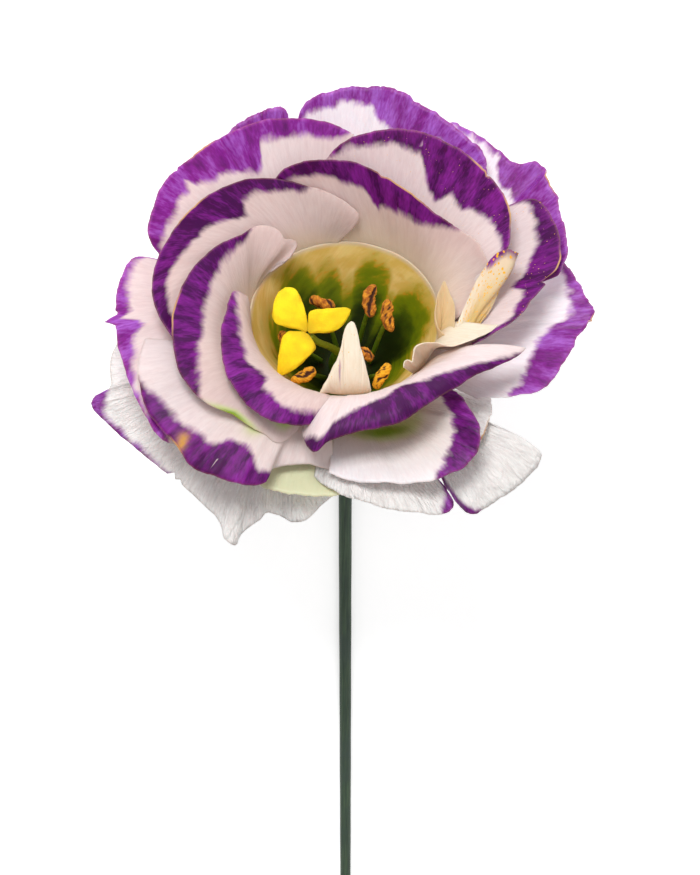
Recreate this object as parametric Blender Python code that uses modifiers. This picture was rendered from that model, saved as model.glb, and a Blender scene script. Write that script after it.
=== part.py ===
"""Double-flowered lisianthus, cut and laid down: the bloom leans back on its rear petals
and the stem runs out flat behind it.  Lengths are in millimetres times MM, +Z is up and
the floor is z = 0.  The bloom is drawn upright about its own axis and tipped as a whole."""
import math

import bmesh
import bpy
from mathutils import Vector

MM = 0.001
for old in list(bpy.data.objects):
    bpy.data.objects.remove(old, do_unlink=True)

# ---- driving sizes -------------------------------------------------------------------
BLOOM_TIP = math.radians(-50)       # the bloom's axis leans 50 degrees from plumb, towards +Y
BLOOM_AT = (0.0, 32.8, 11.4)        # where the axis starts, over the receptacle
PETAL_THICK = 0.5
SMALL_PETAL_THICK = 0.4

TUBE_FOOT_R, TUBE_MOUTH_R = 3.0, 14.4
TUBE_FOOT_H, TUBE_MOUTH_H = 0.6, 15.0
TUBE_WALL = 0.5
TUBE_CURVE = 0.7                    # below 1 the tube opens fast at its foot, then stands up

STEM_R_TOP, STEM_R_END = 1.05, 0.8
STEM_FLAT_LENGTH = 82.0

# Each petal is a loft from a short arc at the tube (its claw) to its free edge.
#   claw: the arc's two ends; edge: the points that give the free edge its shape,
#   all as angle about the axis in degrees, radius, height
#   flare: the slope of the blade where it meets the edge, first side and last side;
#          90 stands up, 0 lies flat, below 0 hangs over
INNER = {
    "inner_petal_1": dict(
        claw=[(208, 13.6, 15.6), (250, 14.8, 15.6)], flare=(20, -35),
        edge=[(178, 14.3, 18), (182, 16.3, 21.5), (206, 19, 23), (233, 22.5, 22.5),
              (249, 23.5, 21), (258, 20.5, 18.5)]),
    "inner_petal_2": dict(
        claw=[(154, 13.8, 15.6), (202, 15.1, 15.6)], flare=(50, -20),
        edge=[(124, 13.6, 17), (132, 15, 20.5), (149, 18, 22), (175, 22, 23.5),
              (207, 27, 23), (227, 27, 20.5), (240, 23, 17.5)]),
    "inner_petal_3": dict(
        claw=[(101, 13.7, 15.6), (150, 15.1, 15.6)], flare=(60, 10),
        edge=[(84, 14.4, 17.5), (83, 15.2, 20), (106, 18.5, 22.5), (132, 23.5, 24),
              (161, 26, 24.5), (186, 27.5, 23.5), (202, 25.5, 21)]),
    "inner_petal_4": dict(
        claw=[(40, 13.8, 15.6), (97, 15.3, 15.6)], flare=(60, 60),
        edge=[(24, 16.5, 18.5), (24, 18, 21.5), (44, 17.5, 24), (67, 18, 25.5),
              (94, 20, 26), (113, 21.5, 24.5), (119, 21.5, 22.5)]),
}
MIDDLE = {
    "middle_petal_1": dict(
        claw=[(44, 13.1, 11.3), (88, 13.1, 11.3)], flare=(40, 55),
        edge=[(14, 21, 18), (13, 24, 23.5), (28, 26.5, 25.5), (57, 27, 27), (74, 25.5, 27.5),
              (90, 23, 26.5), (97, 22, 24)]),
    "middle_petal_2": dict(
        claw=[(148, 12.6, 10.5), (104, 12.1, 9.3)], flare=(25, 45),
        edge=[(165, 28, 20), (162, 30, 22.5), (148, 31.5, 24), (136, 31, 25), (115, 30, 26),
              (98, 28.5, 25), (87, 26.5, 24)]),
    "middle_petal_3": dict(
        claw=[(162, 12.1, 9.3), (200, 12.1, 9.3)], flare=(20, -10),
        edge=[(165, 27, 18.5), (168, 31.5, 20), (184, 33, 20), (203, 33.5, 18.5),
              (219, 34, 16), (222, 32, 13)]),
    "middle_petal_4": dict(
        claw=[(208, 12.6, 10.5), (250, 12.6, 10.5)], flare=(0, -40), rise=55,
        edge=[(205, 28, 18.5), (208, 31, 20), (224, 32, 17.5), (237, 33, 16), (247, 31, 15),
              (252, 25, 13)]),
    "middle_petal_5": dict(
        claw=[(266, 12.7, 10.5), (318, 12.7, 10.5)], flare=(-50, -30), rise=57,
        edge=[(259, 20, 15.5), (263, 26.5, 20.5), (282, 24.5, 22), (304, 23, 22),
              (328, 25.5, 21), (336, 24, 18)]),
    "middle_petal_6": dict(
        claw=[(38, 11.4, 8.5), (-14, 12.6, 10.5)], flare=(30, 50), rise=54,
        edge=[(33, 28, 21), (27, 32, 23), (9, 31.5, 23), (-1, 28, 22), (-10, 25.5, 21),
              (-20, 21.5, 20), (-28, 18.5, 18)]),
}
OUTER = {
    "outer_petal_1": dict(
        claw=[(104, 9.9, 6.5), (68, 9.9, 6.5)], flare=(45, 45),
        edge=[(104, 31, 20), (100, 34, 22.8), (93, 34.7, 24.2), (79, 35.5, 24.6),
              (68, 34, 23.5), (51, 32, 22), (45, 30, 21)]),
    "outer_petal_2": dict(
        claw=[(132, 8.5, 4.5), (112, 8.5, 4.5)], flare=(45, 45),
        edge=[(130, 31, 20), (124, 32.5, 21.5), (111, 34.2, 21.4), (107, 32, 20)]),
    "outer_petal_3": dict(
        claw=[(60, 8.5, 4.5), (14, 9.9, 6.5)], flare=(30, 40),
        edge=[(66, 33, 18.5), (62, 35.5, 20.5), (45, 35, 20), (39, 37.5, 20.3), (27, 35, 21),
              (12, 33, 21), (6, 31, 20)]),
    "outer_petal_4": dict(
        claw=[(10, 8.5, 4.5), (-30, 9.9, 6.5)], flare=(10, 20),
        edge=[(17, 33, 15.5), (4, 35, 17), (-2, 36, 16.5), (-8, 34, 16.5), (-25, 31, 15.5),
              (-36, 23.5, 13.5)]),
    "outer_petal_5": dict(
        claw=[(308, 9.7, 6.2), (270, 9.7, 6.2)], flare=(10, -10), rise=36,
        edge=[(308, 19.5, 17), (311, 22.5, 19), (308, 30, 18), (300, 31, 17), (291, 31, 16),
              (286, 28, 14)]),
    "outer_petal_6": dict(
        claw=[(262, 8.5, 4.5), (290, 8.5, 4.5)], flare=(-20, -20), rise=32,
        edge=[(264, 25, 12), (268, 27.5, 13), (282, 30.5, 12.5), (293, 33.5, 11.5),
              (294, 30.5, 11)]),
    "outer_petal_7": dict(
        claw=[(300, 7.0, 2.7), (312, 7.0, 2.7)], flare=(-40, -40), rise=12,
        edge=[(299, 31, 12), (303, 34, 9.5), (310, 34.5, 9), (317, 34.5, 9.3),
              (323, 33, 10), (325, 31, 10.5)]),
    "outer_petal_8": dict(
        claw=[(316, 8.5, 4.5), (325, 8.5, 4.5)], flare=(20, 20), rise=50,
        edge=[(306, 28.5, 14), (310, 29, 14.5), (322, 26.5, 13.5), (329, 24.5, 12)]),
    "outer_petal_9": dict(
        claw=[(196, 7.2, 3.0), (242, 7.2, 3.0)], flare=(0, -50), rise=32,
        edge=[(184, 31, 12), (194, 35, 12), (201, 39, 10), (211, 35.5, 8), (233, 33.5, 6),
              (245, 36, 5), (253, 31, 6), (266, 26, 8)]),
    "outer_petal_10": dict(
        claw=[(248, 9.2, 5.5), (257, 9.2, 5.5)], flare=(0, 0), rise=42,
        edge=[(245, 26, 11.5), (249, 29, 12), (258, 29, 11.6), (265, 28, 11)]),
}
SMALL = {
    "petaloid_1": dict(
        claw=[(268, 13.6, 15.6), (286, 13.6, 15.6)], flare=(170, 150),
        edge=[(263, 14.3, 17.5), (271, 8, 20.5), (278, 6.4, 21.5), (283, 8.6, 20.5),
              (290, 14.3, 18)]),
    "petaloid_2": dict(
        claw=[(312, 14.2, 15.6), (334, 14.2, 15.6)], flare=(110, 60),
        edge=[(300, 14.5, 18.5), (301, 16, 21), (309, 15, 21), (318, 15.2, 21.5),
              (328, 17.5, 20.5), (335, 17.5, 18.5)]),
    "petaloid_3": dict(
        claw=[(-5, 12.8, 14.0), (8, 12.8, 14.0)], flare=(120, 90),
        edge=[(-9, 13.8, 17.5), (-8, 12.8, 19.5), (-1, 12.5, 21), (5, 13.3, 21.8),
              (9, 14.2, 19)]),
    "petaloid_4": dict(
        claw=[(-22, 12.8, 14.0), (-13, 12.8, 14.0)], flare=(70, 70),
        edge=[(-20, 16, 18), (-12, 17, 20.5), (-3, 18.5, 22.5), (2, 20.5, 24.5),
              (-5, 20, 20.5)]),
}

collection = bpy.data.collections.new("lisianthus_flower")
bpy.context.scene.collection.children.link(collection)


def material(name, colour, roughness):
    m = bpy.data.materials.new(name)
    m.use_nodes = True
    shader = m.node_tree.nodes["Principled BSDF"]
    shader.inputs["Base Color"].default_value = (*colour, 1.0)
    shader.inputs["Roughness"].default_value = roughness
    shader.inputs["Metallic"].default_value = 0.0
    m.diffuse_color = (*colour, 1.0)
    return m


PETAL = material("petal_tissue", (0.86, 0.80, 0.80), 0.55)
THROAT = material("throat_tissue", (0.62, 0.55, 0.22), 0.5)
GREEN = material("green_tissue", (0.04, 0.07, 0.04), 0.5)
PISTIL = material("pistil_tissue", (0.18, 0.27, 0.04), 0.45)
STIGMA = material("stigma_surface", (0.85, 0.62, 0.0), 0.8)
POLLEN = material("anther_surface", (0.55, 0.24, 0.03), 0.85)

bloom = bpy.data.objects.new("bloom_frame", None)
collection.objects.link(bloom)
bloom.location = [v * MM for v in BLOOM_AT]
bloom.rotation_euler = (BLOOM_TIP, 0, 0)


def add_object(name, data, mat, in_bloom=True):
    data.materials.append(mat)
    obj = bpy.data.objects.new(name, data)
    collection.objects.link(obj)
    if in_bloom:
        obj.parent = bloom
    return obj


def polar(angle, radius, height):
    a = math.radians(angle)
    return Vector((radius * math.cos(a), radius * math.sin(a), height))


# ---- the petals ----------------------------------------------------------------------
def smooth_edge(points, s):
    """A point of the free edge at s from 0 to 1, smooth through the listed points."""
    steps = [(polar(*b) - polar(*a)).length for a, b in zip(points, points[1:])]
    run = s * sum(steps)
    i = 0
    while i < len(steps) - 1 and run > steps[i]:
        run -= steps[i]
        i += 1
    f = run / steps[i]
    a, b = points[i], points[i + 1]
    before, after = points[max(i - 1, 0)], points[min(i + 2, len(steps))]
    return [0.5 * (2 * q + (r - p) * f + (2 * p - 5 * q + 4 * r - t) * f ** 2
                   + (3 * q - p - 3 * r + t) * f ** 3)
            for p, q, r, t in zip(before, a, b, after)]


def blade_point(petal, s, t, rise, curl=0.35):
    """A point of the blade: s runs across it, t from the claw (0) to the free edge (1)."""
    claw_angle, claw_r, claw_h = [a + (b - a) * s for a, b in zip(*petal["claw"])]
    edge_angle, edge_r, edge_h = smooth_edge(petal["edge"], s)
    first, last = petal["flare"]
    flare = math.radians(first + (last - first) * s)
    up = math.radians(rise)
    length = math.hypot(edge_r - claw_r, edge_h - claw_h)
    reach = 0.4 * length
    r = (claw_r, claw_r + reach * math.cos(up), edge_r - curl * length * math.cos(flare), edge_r)
    h = (claw_h, claw_h + reach * math.sin(up), edge_h - curl * length * math.sin(flare), edge_h)
    w = ((1 - t) ** 3, 3 * t * (1 - t) ** 2, 3 * t * t * (1 - t), t ** 3)
    angle = claw_angle + (edge_angle - claw_angle) * t ** 0.8
    return polar(angle, sum(a * b for a, b in zip(r, w)), sum(a * b for a, b in zip(h, w)))


def make_petal(name, petal, rise, thickness, across, along, mat=PETAL):
    bm = bmesh.new()
    rows = [[bm.verts.new(blade_point(petal, i / across, j / along, rise) * MM)
             for j in range(along + 1)] for i in range(across + 1)]
    for a, b in zip(rows, rows[1:]):
        for j in range(along):
            bm.faces.new((a[j], b[j], b[j + 1], a[j + 1]))
    mesh = bpy.data.meshes.new(name)
    bm.to_mesh(mesh)
    bm.free()
    obj = add_object(name, mesh, mat)
    solid = obj.modifiers.new("thickness", "SOLIDIFY")
    solid.thickness = thickness * MM
    solid.offset = 0.0


for group, rise, across, along in ((INNER, 82, 11, 5), (MIDDLE, 60, 11, 6), (OUTER, 46, 11, 6)):
    for petal_name, petal_shape in group.items():
        make_petal(petal_name, petal_shape, petal_shape.get("rise", rise), PETAL_THICK, across, along)
for petal_name, petal_shape in SMALL.items():
    make_petal(petal_name, petal_shape, 88, SMALL_PETAL_THICK, 8, 6)


# ---- the corolla tube ----------------------------------------------------------------
def turned(name, profile, mat, steps=32):
    """A solid turned about the bloom's axis from a closed or axis-to-axis profile (r, h)."""
    mesh = bpy.data.meshes.new(name)
    edges = [(i, i + 1) for i in range(len(profile) - 1)]
    if profile[0][0] > 0:
        edges.append((len(profile) - 1, 0))
    mesh.from_pydata([(r * MM, 0, h * MM) for r, h in profile], edges, [])
    obj = add_object(name, mesh, mat)
    screw = obj.modifiers.new("turn", "SCREW")
    screw.axis = "Z"
    screw.angle = math.radians(360)
    screw.steps = steps
    screw.render_steps = steps
    screw.use_merge_vertices = True
    screw.merge_threshold = 0.00001
    screw.use_normal_calculate = True
    return obj


def tube_radius(h):
    rise = max(h - TUBE_FOOT_H, 0) / (TUBE_MOUTH_H - TUBE_FOOT_H)
    return TUBE_FOOT_R + (TUBE_MOUTH_R - TUBE_FOOT_R) * rise ** TUBE_CURVE


heights = [TUBE_FOOT_H + (TUBE_MOUTH_H - TUBE_FOOT_H) * k / 7 for k in range(8)]
inside = [(tube_radius(h) - TUBE_WALL / 2, h) for h in heights]
outside = [(tube_radius(h) + TUBE_WALL / 2, h - 0.1) for h in heights]
turned("corolla_tube", inside + outside[::-1], THROAT)

# ---- receptacle, calyx lobes and stem ------------------------------------------------
turned("receptacle", [(0, 0.2), (2.4, 0.1), (2.9, -0.6), (2.3, -1.8), (1.3, -2.6), (0, -2.7)],
       GREEN, 20)

for k in range(5):
    mid = 54 + 72 * k
    lobe = dict(claw=[(mid - 24, 3.4, -0.3), (mid + 24, 3.4, -0.3)], flare=(25, 25),
                edge=[(mid - 9, 8, 0.9), (mid - 5, 12, 2.6), (mid, 16, 4.6),
                      (mid + 5, 12, 2.6), (mid + 9, 8, 0.9)])
    make_petal("calyx_lobe_%d" % (k + 1), lobe, 10, SMALL_PETAL_THICK, 6, 4, GREEN)

axis = Vector((0, -math.sin(BLOOM_TIP), math.cos(BLOOM_TIP)))
slope = math.pi / 2 + BLOOM_TIP     # how steeply the stem leaves the calyx, below level
STEM_TOP = Vector(BLOOM_AT) - 3.05 * axis
bend_r = (STEM_TOP.z - STEM_R_TOP) / (1 - math.cos(slope))
path = []
for k in range(6):
    a = slope * (1 - k / 5)
    path.append((STEM_TOP.y - bend_r * (math.sin(slope) - math.sin(a)),
                 STEM_R_TOP + bend_r * (1 - math.cos(a)), STEM_R_TOP))
for k in range(1, 5):
    radius = STEM_R_TOP + (STEM_R_END - STEM_R_TOP) * k / 4
    path.append((path[5][0] - STEM_FLAT_LENGTH * k / 4, radius, radius))


def rod(name, points, radii, mat, in_bloom=True, sides=2):
    """A round rod through the points, closed at both ends."""
    data = bpy.data.curves.new(name, "CURVE")
    data.dimensions = "3D"
    data.bevel_depth = MM
    data.bevel_resolution = sides
    data.use_fill_caps = True
    line = data.splines.new("POLY")
    line.points.add(len(points) - 1)
    for point, where, radius in zip(line.points, points, radii):
        point.co = (where[0] * MM, where[1] * MM, where[2] * MM, 1)
        point.radius = radius
    return add_object(name, data, mat, in_bloom)


rod("stem", [(0, y, z) for y, z, r in path], [r for y, z, r in path], GREEN, False)

# ---- pistil --------------------------------------------------------------------------
OVARY_FOOT, OVARY_LEAN = Vector((0, -0.3, 0.6)), Vector((-0.11, -0.26, 0.96))
STIGMA_AT = Vector((-5.4, -4.0, 16.2))
FACE = Vector((0, -0.54, 0.84))     # the stigma's lobes and the anthers look this way
ACROSS, UP = Vector((1, 0, 0)), Vector((0, 0.84, 0.54))

ovary = turned("ovary", [(0, 0), (1.2, 0.3), (2.0, 2.0), (2.1, 4.0), (1.5, 6.8), (0.7, 8.6), (0, 8.9)],
               PISTIL, 16)
ovary.location = OVARY_FOOT * MM
ovary.rotation_mode = "QUATERNION"
ovary.rotation_quaternion = OVARY_LEAN.to_track_quat("Z", "Y")
rod("style", [(-1.1, -2.7, 9.6), (-2.2, -3.3, 11.6), (-3.8, -3.9, 13.6), (-5.1, -4.0, 15.4)],
    [0.6, 0.5, 0.5, 0.5], PISTIL)


def bead(name, at, lean, half, mat):
    """A flattened ball: half its width, depth and length, its length along a lean in the
    plane that FACE looks out of (degrees anticlockwise from ACROSS)."""
    bm = bmesh.new()
    bmesh.ops.create_uvsphere(bm, u_segments=12, v_segments=8, radius=MM)
    mesh = bpy.data.meshes.new(name)
    bm.to_mesh(mesh)
    bm.free()
    obj = add_object(name, mesh, mat)
    along = math.cos(math.radians(lean)) * ACROSS + math.sin(math.radians(lean)) * UP
    obj.location = at * MM
    obj.rotation_mode = "QUATERNION"
    obj.rotation_quaternion = along.to_track_quat("Z", "Y")
    obj.scale = half


for k, (lean, length, width) in enumerate(((124, 3.3, 2.6), (28, 3.3, 2.1), (236, 2.9, 2.4))):
    along = math.cos(math.radians(lean)) * ACROSS + math.sin(math.radians(lean)) * UP
    bead("stigma_lobe_%d" % (k + 1), STIGMA_AT + along * (length + 0.6), lean,
         (width, 0.6, length), STIGMA)

# ---- stamens: filament foot angle, anther angle, radius, height, lean, length ---------
STAMENS = ((110, 128, 5.4, 12.0, 145, 4.0), (60, 40, 5.0, 14.0, 78, 5.0),
           (10, 5, 6.4, 14.0, 100, 5.0), (320, 298, 10.3, 13.3, 75, 4.0),
           (215, 237, 10.2, 12.9, 35, 4.0), (285, 303, 5.5, 12.0, 150, 3.4),
           (165, 190, 9.8, 11.2, 80, 3.4))
for k, (foot, angle, radius, height, lean, length) in enumerate(STAMENS):
    at = polar(angle, radius, height)
    bead("anther_%d" % (k + 1), at, lean, (1.0, 1.0, length / 2), POLLEN)
    top = at - FACE * 1.4
    low = polar(foot, 3.7, 1.8)
    mid = low.lerp(top, 0.5) + Vector((0, 0, 0.4))
    rod("filament_%d" % (k + 1), [low, mid, top], [0.4, 0.4, 0.3], PISTIL)
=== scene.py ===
"""A double lisianthus flower with violet-edged petals, cut and laid down: the finished look of
each piece, in the order that the flower is built up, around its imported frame."""
import math

import bpy
import numpy as np
from mathutils import Matrix, Vector


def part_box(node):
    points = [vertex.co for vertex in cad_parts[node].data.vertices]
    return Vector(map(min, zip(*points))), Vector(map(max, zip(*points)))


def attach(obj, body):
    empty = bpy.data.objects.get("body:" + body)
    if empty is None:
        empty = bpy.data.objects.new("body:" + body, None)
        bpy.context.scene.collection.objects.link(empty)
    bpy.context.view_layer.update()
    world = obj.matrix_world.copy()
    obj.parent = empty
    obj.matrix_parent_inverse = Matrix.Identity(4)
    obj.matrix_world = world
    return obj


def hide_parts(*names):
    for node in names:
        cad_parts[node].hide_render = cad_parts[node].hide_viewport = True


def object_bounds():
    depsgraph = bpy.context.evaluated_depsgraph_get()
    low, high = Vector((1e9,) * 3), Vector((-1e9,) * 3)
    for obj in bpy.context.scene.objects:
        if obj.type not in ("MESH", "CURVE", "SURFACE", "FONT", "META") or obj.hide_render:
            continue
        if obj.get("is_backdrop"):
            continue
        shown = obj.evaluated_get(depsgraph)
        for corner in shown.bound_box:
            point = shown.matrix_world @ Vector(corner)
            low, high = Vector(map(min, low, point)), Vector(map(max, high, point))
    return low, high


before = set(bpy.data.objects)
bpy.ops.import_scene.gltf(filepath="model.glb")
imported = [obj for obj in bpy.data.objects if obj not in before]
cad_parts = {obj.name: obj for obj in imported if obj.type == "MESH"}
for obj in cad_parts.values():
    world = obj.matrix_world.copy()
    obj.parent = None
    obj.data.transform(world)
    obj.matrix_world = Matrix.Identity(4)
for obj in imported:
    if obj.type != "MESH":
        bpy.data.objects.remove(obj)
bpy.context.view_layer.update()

# ---- stem ------------------------------------------------------------------------------
# One green stalk about 2 mm thick.  It leaves the flower at a slope, comes down in one bend
# and lies flat to its cut end.  Its skin is matt, with fine ribs along it.
MM = 0.001
BLOOM_TIP = math.radians(-50)                # the bloom's axis leans this far from plumb
SEAT_TO_AXIS = Vector((0, 0.619, 0.508))     # receptacle's middle to where the axis starts
STEM_R_TOP, STEM_R_END = 1.05, 0.8
STEM_TOP_GAP = 3.05                          # stem's top end, down the axis from its start
STEM_RIBS, RIB_DEPTH = 5, 0.03               # depths are shares of the stem's radius
STEM_SWELLS, SWELL_DEPTH = 9, 0.012

seat_low, seat_high = [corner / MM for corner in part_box("receptacle")]
BLOOM_AT = (seat_low + seat_high) / 2 + SEAT_TO_AXIS
AXIS = Vector((0, -math.sin(BLOOM_TIP), math.cos(BLOOM_TIP)))
BLOOM_TURN = np.array(Matrix.Rotation(BLOOM_TIP, 3, "X"))


def srgb(red, green, blue):
    """A colour as seen on a screen, 0 to 255, in the linear values that a shader takes."""
    return tuple(((c / 255 + 0.055) / 1.055) ** 2.4 for c in (red, green, blue)) + (1.0,)


def put(tree, kind, inputs=None, **settings):
    """Places a node.  An input is a plain value, or the socket of another node to join."""
    node = tree.nodes.new("ShaderNode" + kind)
    for key, value in settings.items():
        setattr(node, key, value)
    for key, value in (inputs or {}).items():
        if isinstance(value, bpy.types.NodeSocket):
            tree.links.new(value, node.inputs[key])
        else:
            node.inputs[key].default_value = value
    return node


def new_group(name, inputs, outputs):
    """An empty shader group with named sockets; returns it with its inner ends."""
    group = bpy.data.node_groups.new(name, "ShaderNodeTree")
    kinds = {"vector": "NodeSocketVector", "value": "NodeSocketFloat", "colour": "NodeSocketColor"}
    for socket, kind in inputs:
        group.interface.new_socket(socket, in_out="INPUT", socket_type=kinds[kind])
    for socket, kind in outputs:
        group.interface.new_socket(socket, in_out="OUTPUT", socket_type=kinds[kind])
    return group, group.nodes.new("NodeGroupInput"), group.nodes.new("NodeGroupOutput")


def use_group(tree, group, inputs):
    """Places a shared group in a material, with that material's own values."""
    return put(tree, "Group", inputs, node_tree=group)


def math_of(tree, operation, *values, clamp=False):
    """A maths node's result from up to three values or sockets."""
    return put(tree, "Math", dict(enumerate(values)), operation=operation, use_clamp=clamp).outputs[0]


def blend_of(tree, share, first, second):
    """A mix of two colours."""
    return put(tree, "Mix", {0: share, 6: first, 7: second}, data_type="RGBA",
               clamp_factor=True).outputs[2]


def spread(tree, value, low, high, to_low=0.0, to_high=1.0, smooth=True):
    """A value taken from one range to another."""
    return put(tree, "MapRange", {"Value": value, "From Min": low, "From Max": high,
                                  "To Min": to_low, "To Max": to_high},
               interpolation_type="SMOOTHSTEP" if smooth else "LINEAR").outputs[0]


def carried(tree, name, kind="Fac"):
    """What a piece's mesh carries at its points under a name: a value, or a Vector."""
    return put(tree, "Attribute", attribute_name=name).outputs[kind]


def new_material(name, **fixed):
    """A material with its shader; the fixed values are the same all over the piece."""
    mat = bpy.data.materials.new(name)
    mat.use_nodes = True
    shader = mat.node_tree.nodes["Principled BSDF"]
    for key, value in fixed.items():
        shader.inputs[key.replace("_", " ")].default_value = value
    return mat, mat.node_tree, shader


def finish_skin(tree, shader, colour, relief, strength, height, pits=False):
    """Joins a skin's colour and its fine relief, of a height in millimetres, to the shader."""
    tree.links.new(colour, shader.inputs["Base Color"])
    bump = put(tree, "Bump", {"Height": relief, "Strength": strength, "Distance": height * MM},
               invert=pits)
    tree.links.new(bump.outputs[0], shader.inputs["Normal"])


# Fibre grain, used on the stem, calyx, pistil and stamens: threads that run along a piece.
fibre_grain, inner, outer = new_group(
    "fibre_grain", [("Grain", "vector"), ("Threads per mm", "value"), ("Length", "value")],
    [("Streak", "value"), ("Height", "value")])
along = math_of(fibre_grain, "DIVIDE", inner.outputs["Threads per mm"], inner.outputs["Length"])
stretch = put(fibre_grain, "CombineXYZ", {"X": inner.outputs["Threads per mm"], "Y": along, "Z": 1.0})
threads = put(fibre_grain, "VectorMath", {0: inner.outputs["Grain"], 1: stretch.outputs[0]},
              operation="MULTIPLY")
coarse = put(fibre_grain, "TexNoise", {"Vector": threads.outputs[0], "Scale": 1.0, "Detail": 4.0,
                                       "Roughness": 0.62})
fine = put(fibre_grain, "TexNoise", {"Vector": threads.outputs[0], "Scale": 3.1, "Detail": 3.0})
fibre_grain.links.new(spread(fibre_grain, coarse.outputs[0], 0.3, 0.7), outer.inputs["Streak"])
fibre_grain.links.new(math_of(fibre_grain, "MULTIPLY_ADD", fine.outputs[0], 0.4, coarse.outputs[0]),
                      outer.inputs["Height"])


def make_piece(name, points, faces, attributes, mat, slot, *nodes, in_bloom=True):
    """A mesh piece from points in millimetres, joined to the root body, with its CAD nodes hidden; slot is
    not used.
    """
    points = np.asarray(points, float)
    if in_bloom:
        points = points @ BLOOM_TURN.T + np.array(BLOOM_AT)
    mesh = bpy.data.meshes.new(name)
    mesh.from_pydata([tuple(p) for p in points * MM], [], faces)
    mesh.shade_smooth()
    for key, values in attributes.items():
        values = np.asarray(values, float)
        kind = "FLOAT" if values.ndim == 1 else "FLOAT_VECTOR"
        layer = mesh.attributes.new(key, kind, "POINT")
        layer.data.foreach_set("value" if kind == "FLOAT" else "vector",
                               values.astype(np.float32).ravel())
    mesh.materials.append(mat)
    piece = bpy.data.objects.new(name, mesh)
    bpy.context.scene.collection.objects.link(piece)
    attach(piece, "root")
    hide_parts(*nodes)
    return piece


def smooth_path(stops, count):
    """Evenly shared points on a smooth curve through the stops."""
    stops = np.asarray(stops, float)
    ends = np.vstack((2 * stops[0] - stops[1], stops, 2 * stops[-1] - stops[-2]))
    at = np.linspace(0, len(stops) - 1, count)
    k = np.minimum(at.astype(int), len(stops) - 2)
    f = (at - k)[:, None]
    a, b, c, d = (ends[k + i] for i in range(4))
    return 0.5 * (2 * b + (c - a) * f + (2 * a - 5 * b + 4 * c - d) * f ** 2
                  + (3 * b - a - 3 * c + d) * f ** 3)


def sweep(path, radii, around, ribs=None, twist=0.0):
    """A closed rod along a path: its points, faces and grain.

    ribs(run, turn) scales the radius, and grain is (round it, along it, 0) in millimetres."""
    path, radii = np.asarray(path, float), np.asarray(radii, float)
    ahead = np.gradient(path, axis=0)
    ahead /= np.linalg.norm(ahead, axis=1)[:, None]
    side = np.cross(ahead[0], (0.31, 0.17, 0.93))
    run = np.concatenate(([0], np.cumsum(np.linalg.norm(np.diff(path, axis=0), axis=1))))
    turn = np.arange(around) / around
    points, grain = [], []
    for k, (centre, radius) in enumerate(zip(path, radii)):
        side = side - ahead[k] * side.dot(ahead[k])
        side /= np.linalg.norm(side)
        other = np.cross(ahead[k], side)
        angle = 2 * np.pi * turn + twist * run[k] / run[-1]
        size = radius * (ribs(run[k] / run[-1], turn) if ribs else 1.0)
        points.append(centre + (np.cos(angle) * size)[:, None] * side
                      + (np.sin(angle) * size)[:, None] * other)
        grain += [(radius * math.tau * u, run[k], 0.0) for u in turn]
    points = np.vstack(points + [path[:1], path[-1:]])
    grain += [(0, 0, 0), (0, run[-1], 0)]
    faces, last = [], len(path) - 1
    for k in range(last):
        for i in range(around):
            j = (i + 1) % around
            faces.append((k * around + i, k * around + j, (k + 1) * around + j, (k + 1) * around + i))
    foot, head = (last + 1) * around, (last + 1) * around + 1
    for i in range(around):
        j = (i + 1) % around
        faces += [(foot, j, i), (head, last * around + i, last * around + j)]
    return points, faces, np.array(grain)


stem_slope = math.pi / 2 + BLOOM_TIP
stem_top = BLOOM_AT - STEM_TOP_GAP * AXIS
bend_radius = (stem_top.z - STEM_R_TOP) / (1 - math.cos(stem_slope))
stem_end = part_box("stem")[0].y / MM
bend = [(0, stem_top.y - bend_radius * (math.sin(stem_slope) - math.sin(a)),
         STEM_R_TOP + bend_radius * (1 - math.cos(a)))
        for a in np.linspace(stem_slope, 0, 24)]
flat_run = np.linspace(0, 1, 61)[1:]
stem_path = bend + [(0.0, bend[-1][1] + (stem_end - bend[-1][1]) * f,
                     STEM_R_TOP + (STEM_R_END - STEM_R_TOP) * f) for f in flat_run]
stem_radii = [STEM_R_TOP] * len(bend) + [STEM_R_TOP + (STEM_R_END - STEM_R_TOP) * f
                                         for f in flat_run]
rib_at, swell_at = np.random.default_rng(4).uniform(0, 1, 2)


def stem_ribs(run, turn):
    ribs = 1 - RIB_DEPTH * np.abs(np.sin(math.tau * (STEM_RIBS / 2 * turn + rib_at)))
    return ribs * (1 + SWELL_DEPTH * np.sin(math.tau * (run * STEM_SWELLS + swell_at))) * 0.995


points, faces, grain = sweep(stem_path, stem_radii, 40, stem_ribs)
cut_face = np.zeros(len(points))
cut_face[-1] = 1.0

stem_skin, tree, shader = new_material("stem_skin", Roughness=0.5, Subsurface_Weight=0.08,
                                       Subsurface_Scale=0.0006)
coords = carried(tree, "grain", "Vector")
fibres = use_group(tree, fibre_grain, {"Grain": coords, "Threads per mm": 3.2, "Length": 22.0})
patches = put(tree, "TexNoise", {"Vector": coords, "Scale": 0.12, "Detail": 3.0})
colour = blend_of(tree, fibres.outputs["Streak"], srgb(44, 62, 50), srgb(70, 90, 66))
colour = blend_of(tree, spread(tree, patches.outputs[0], 0.45, 0.7), colour, srgb(58, 74, 64))
pith = carried(tree, "cut")
colour = blend_of(tree, spread(tree, pith, 0.1, 0.6), colour, srgb(206, 214, 172))
finish_skin(tree, shader, colour, fibres.outputs["Height"], 0.5, 0.08)
make_piece("flower_stem", points, faces, {"grain": grain, "cut": cut_face}, stem_skin, "stem", "stem",
           in_bloom=False)

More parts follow.
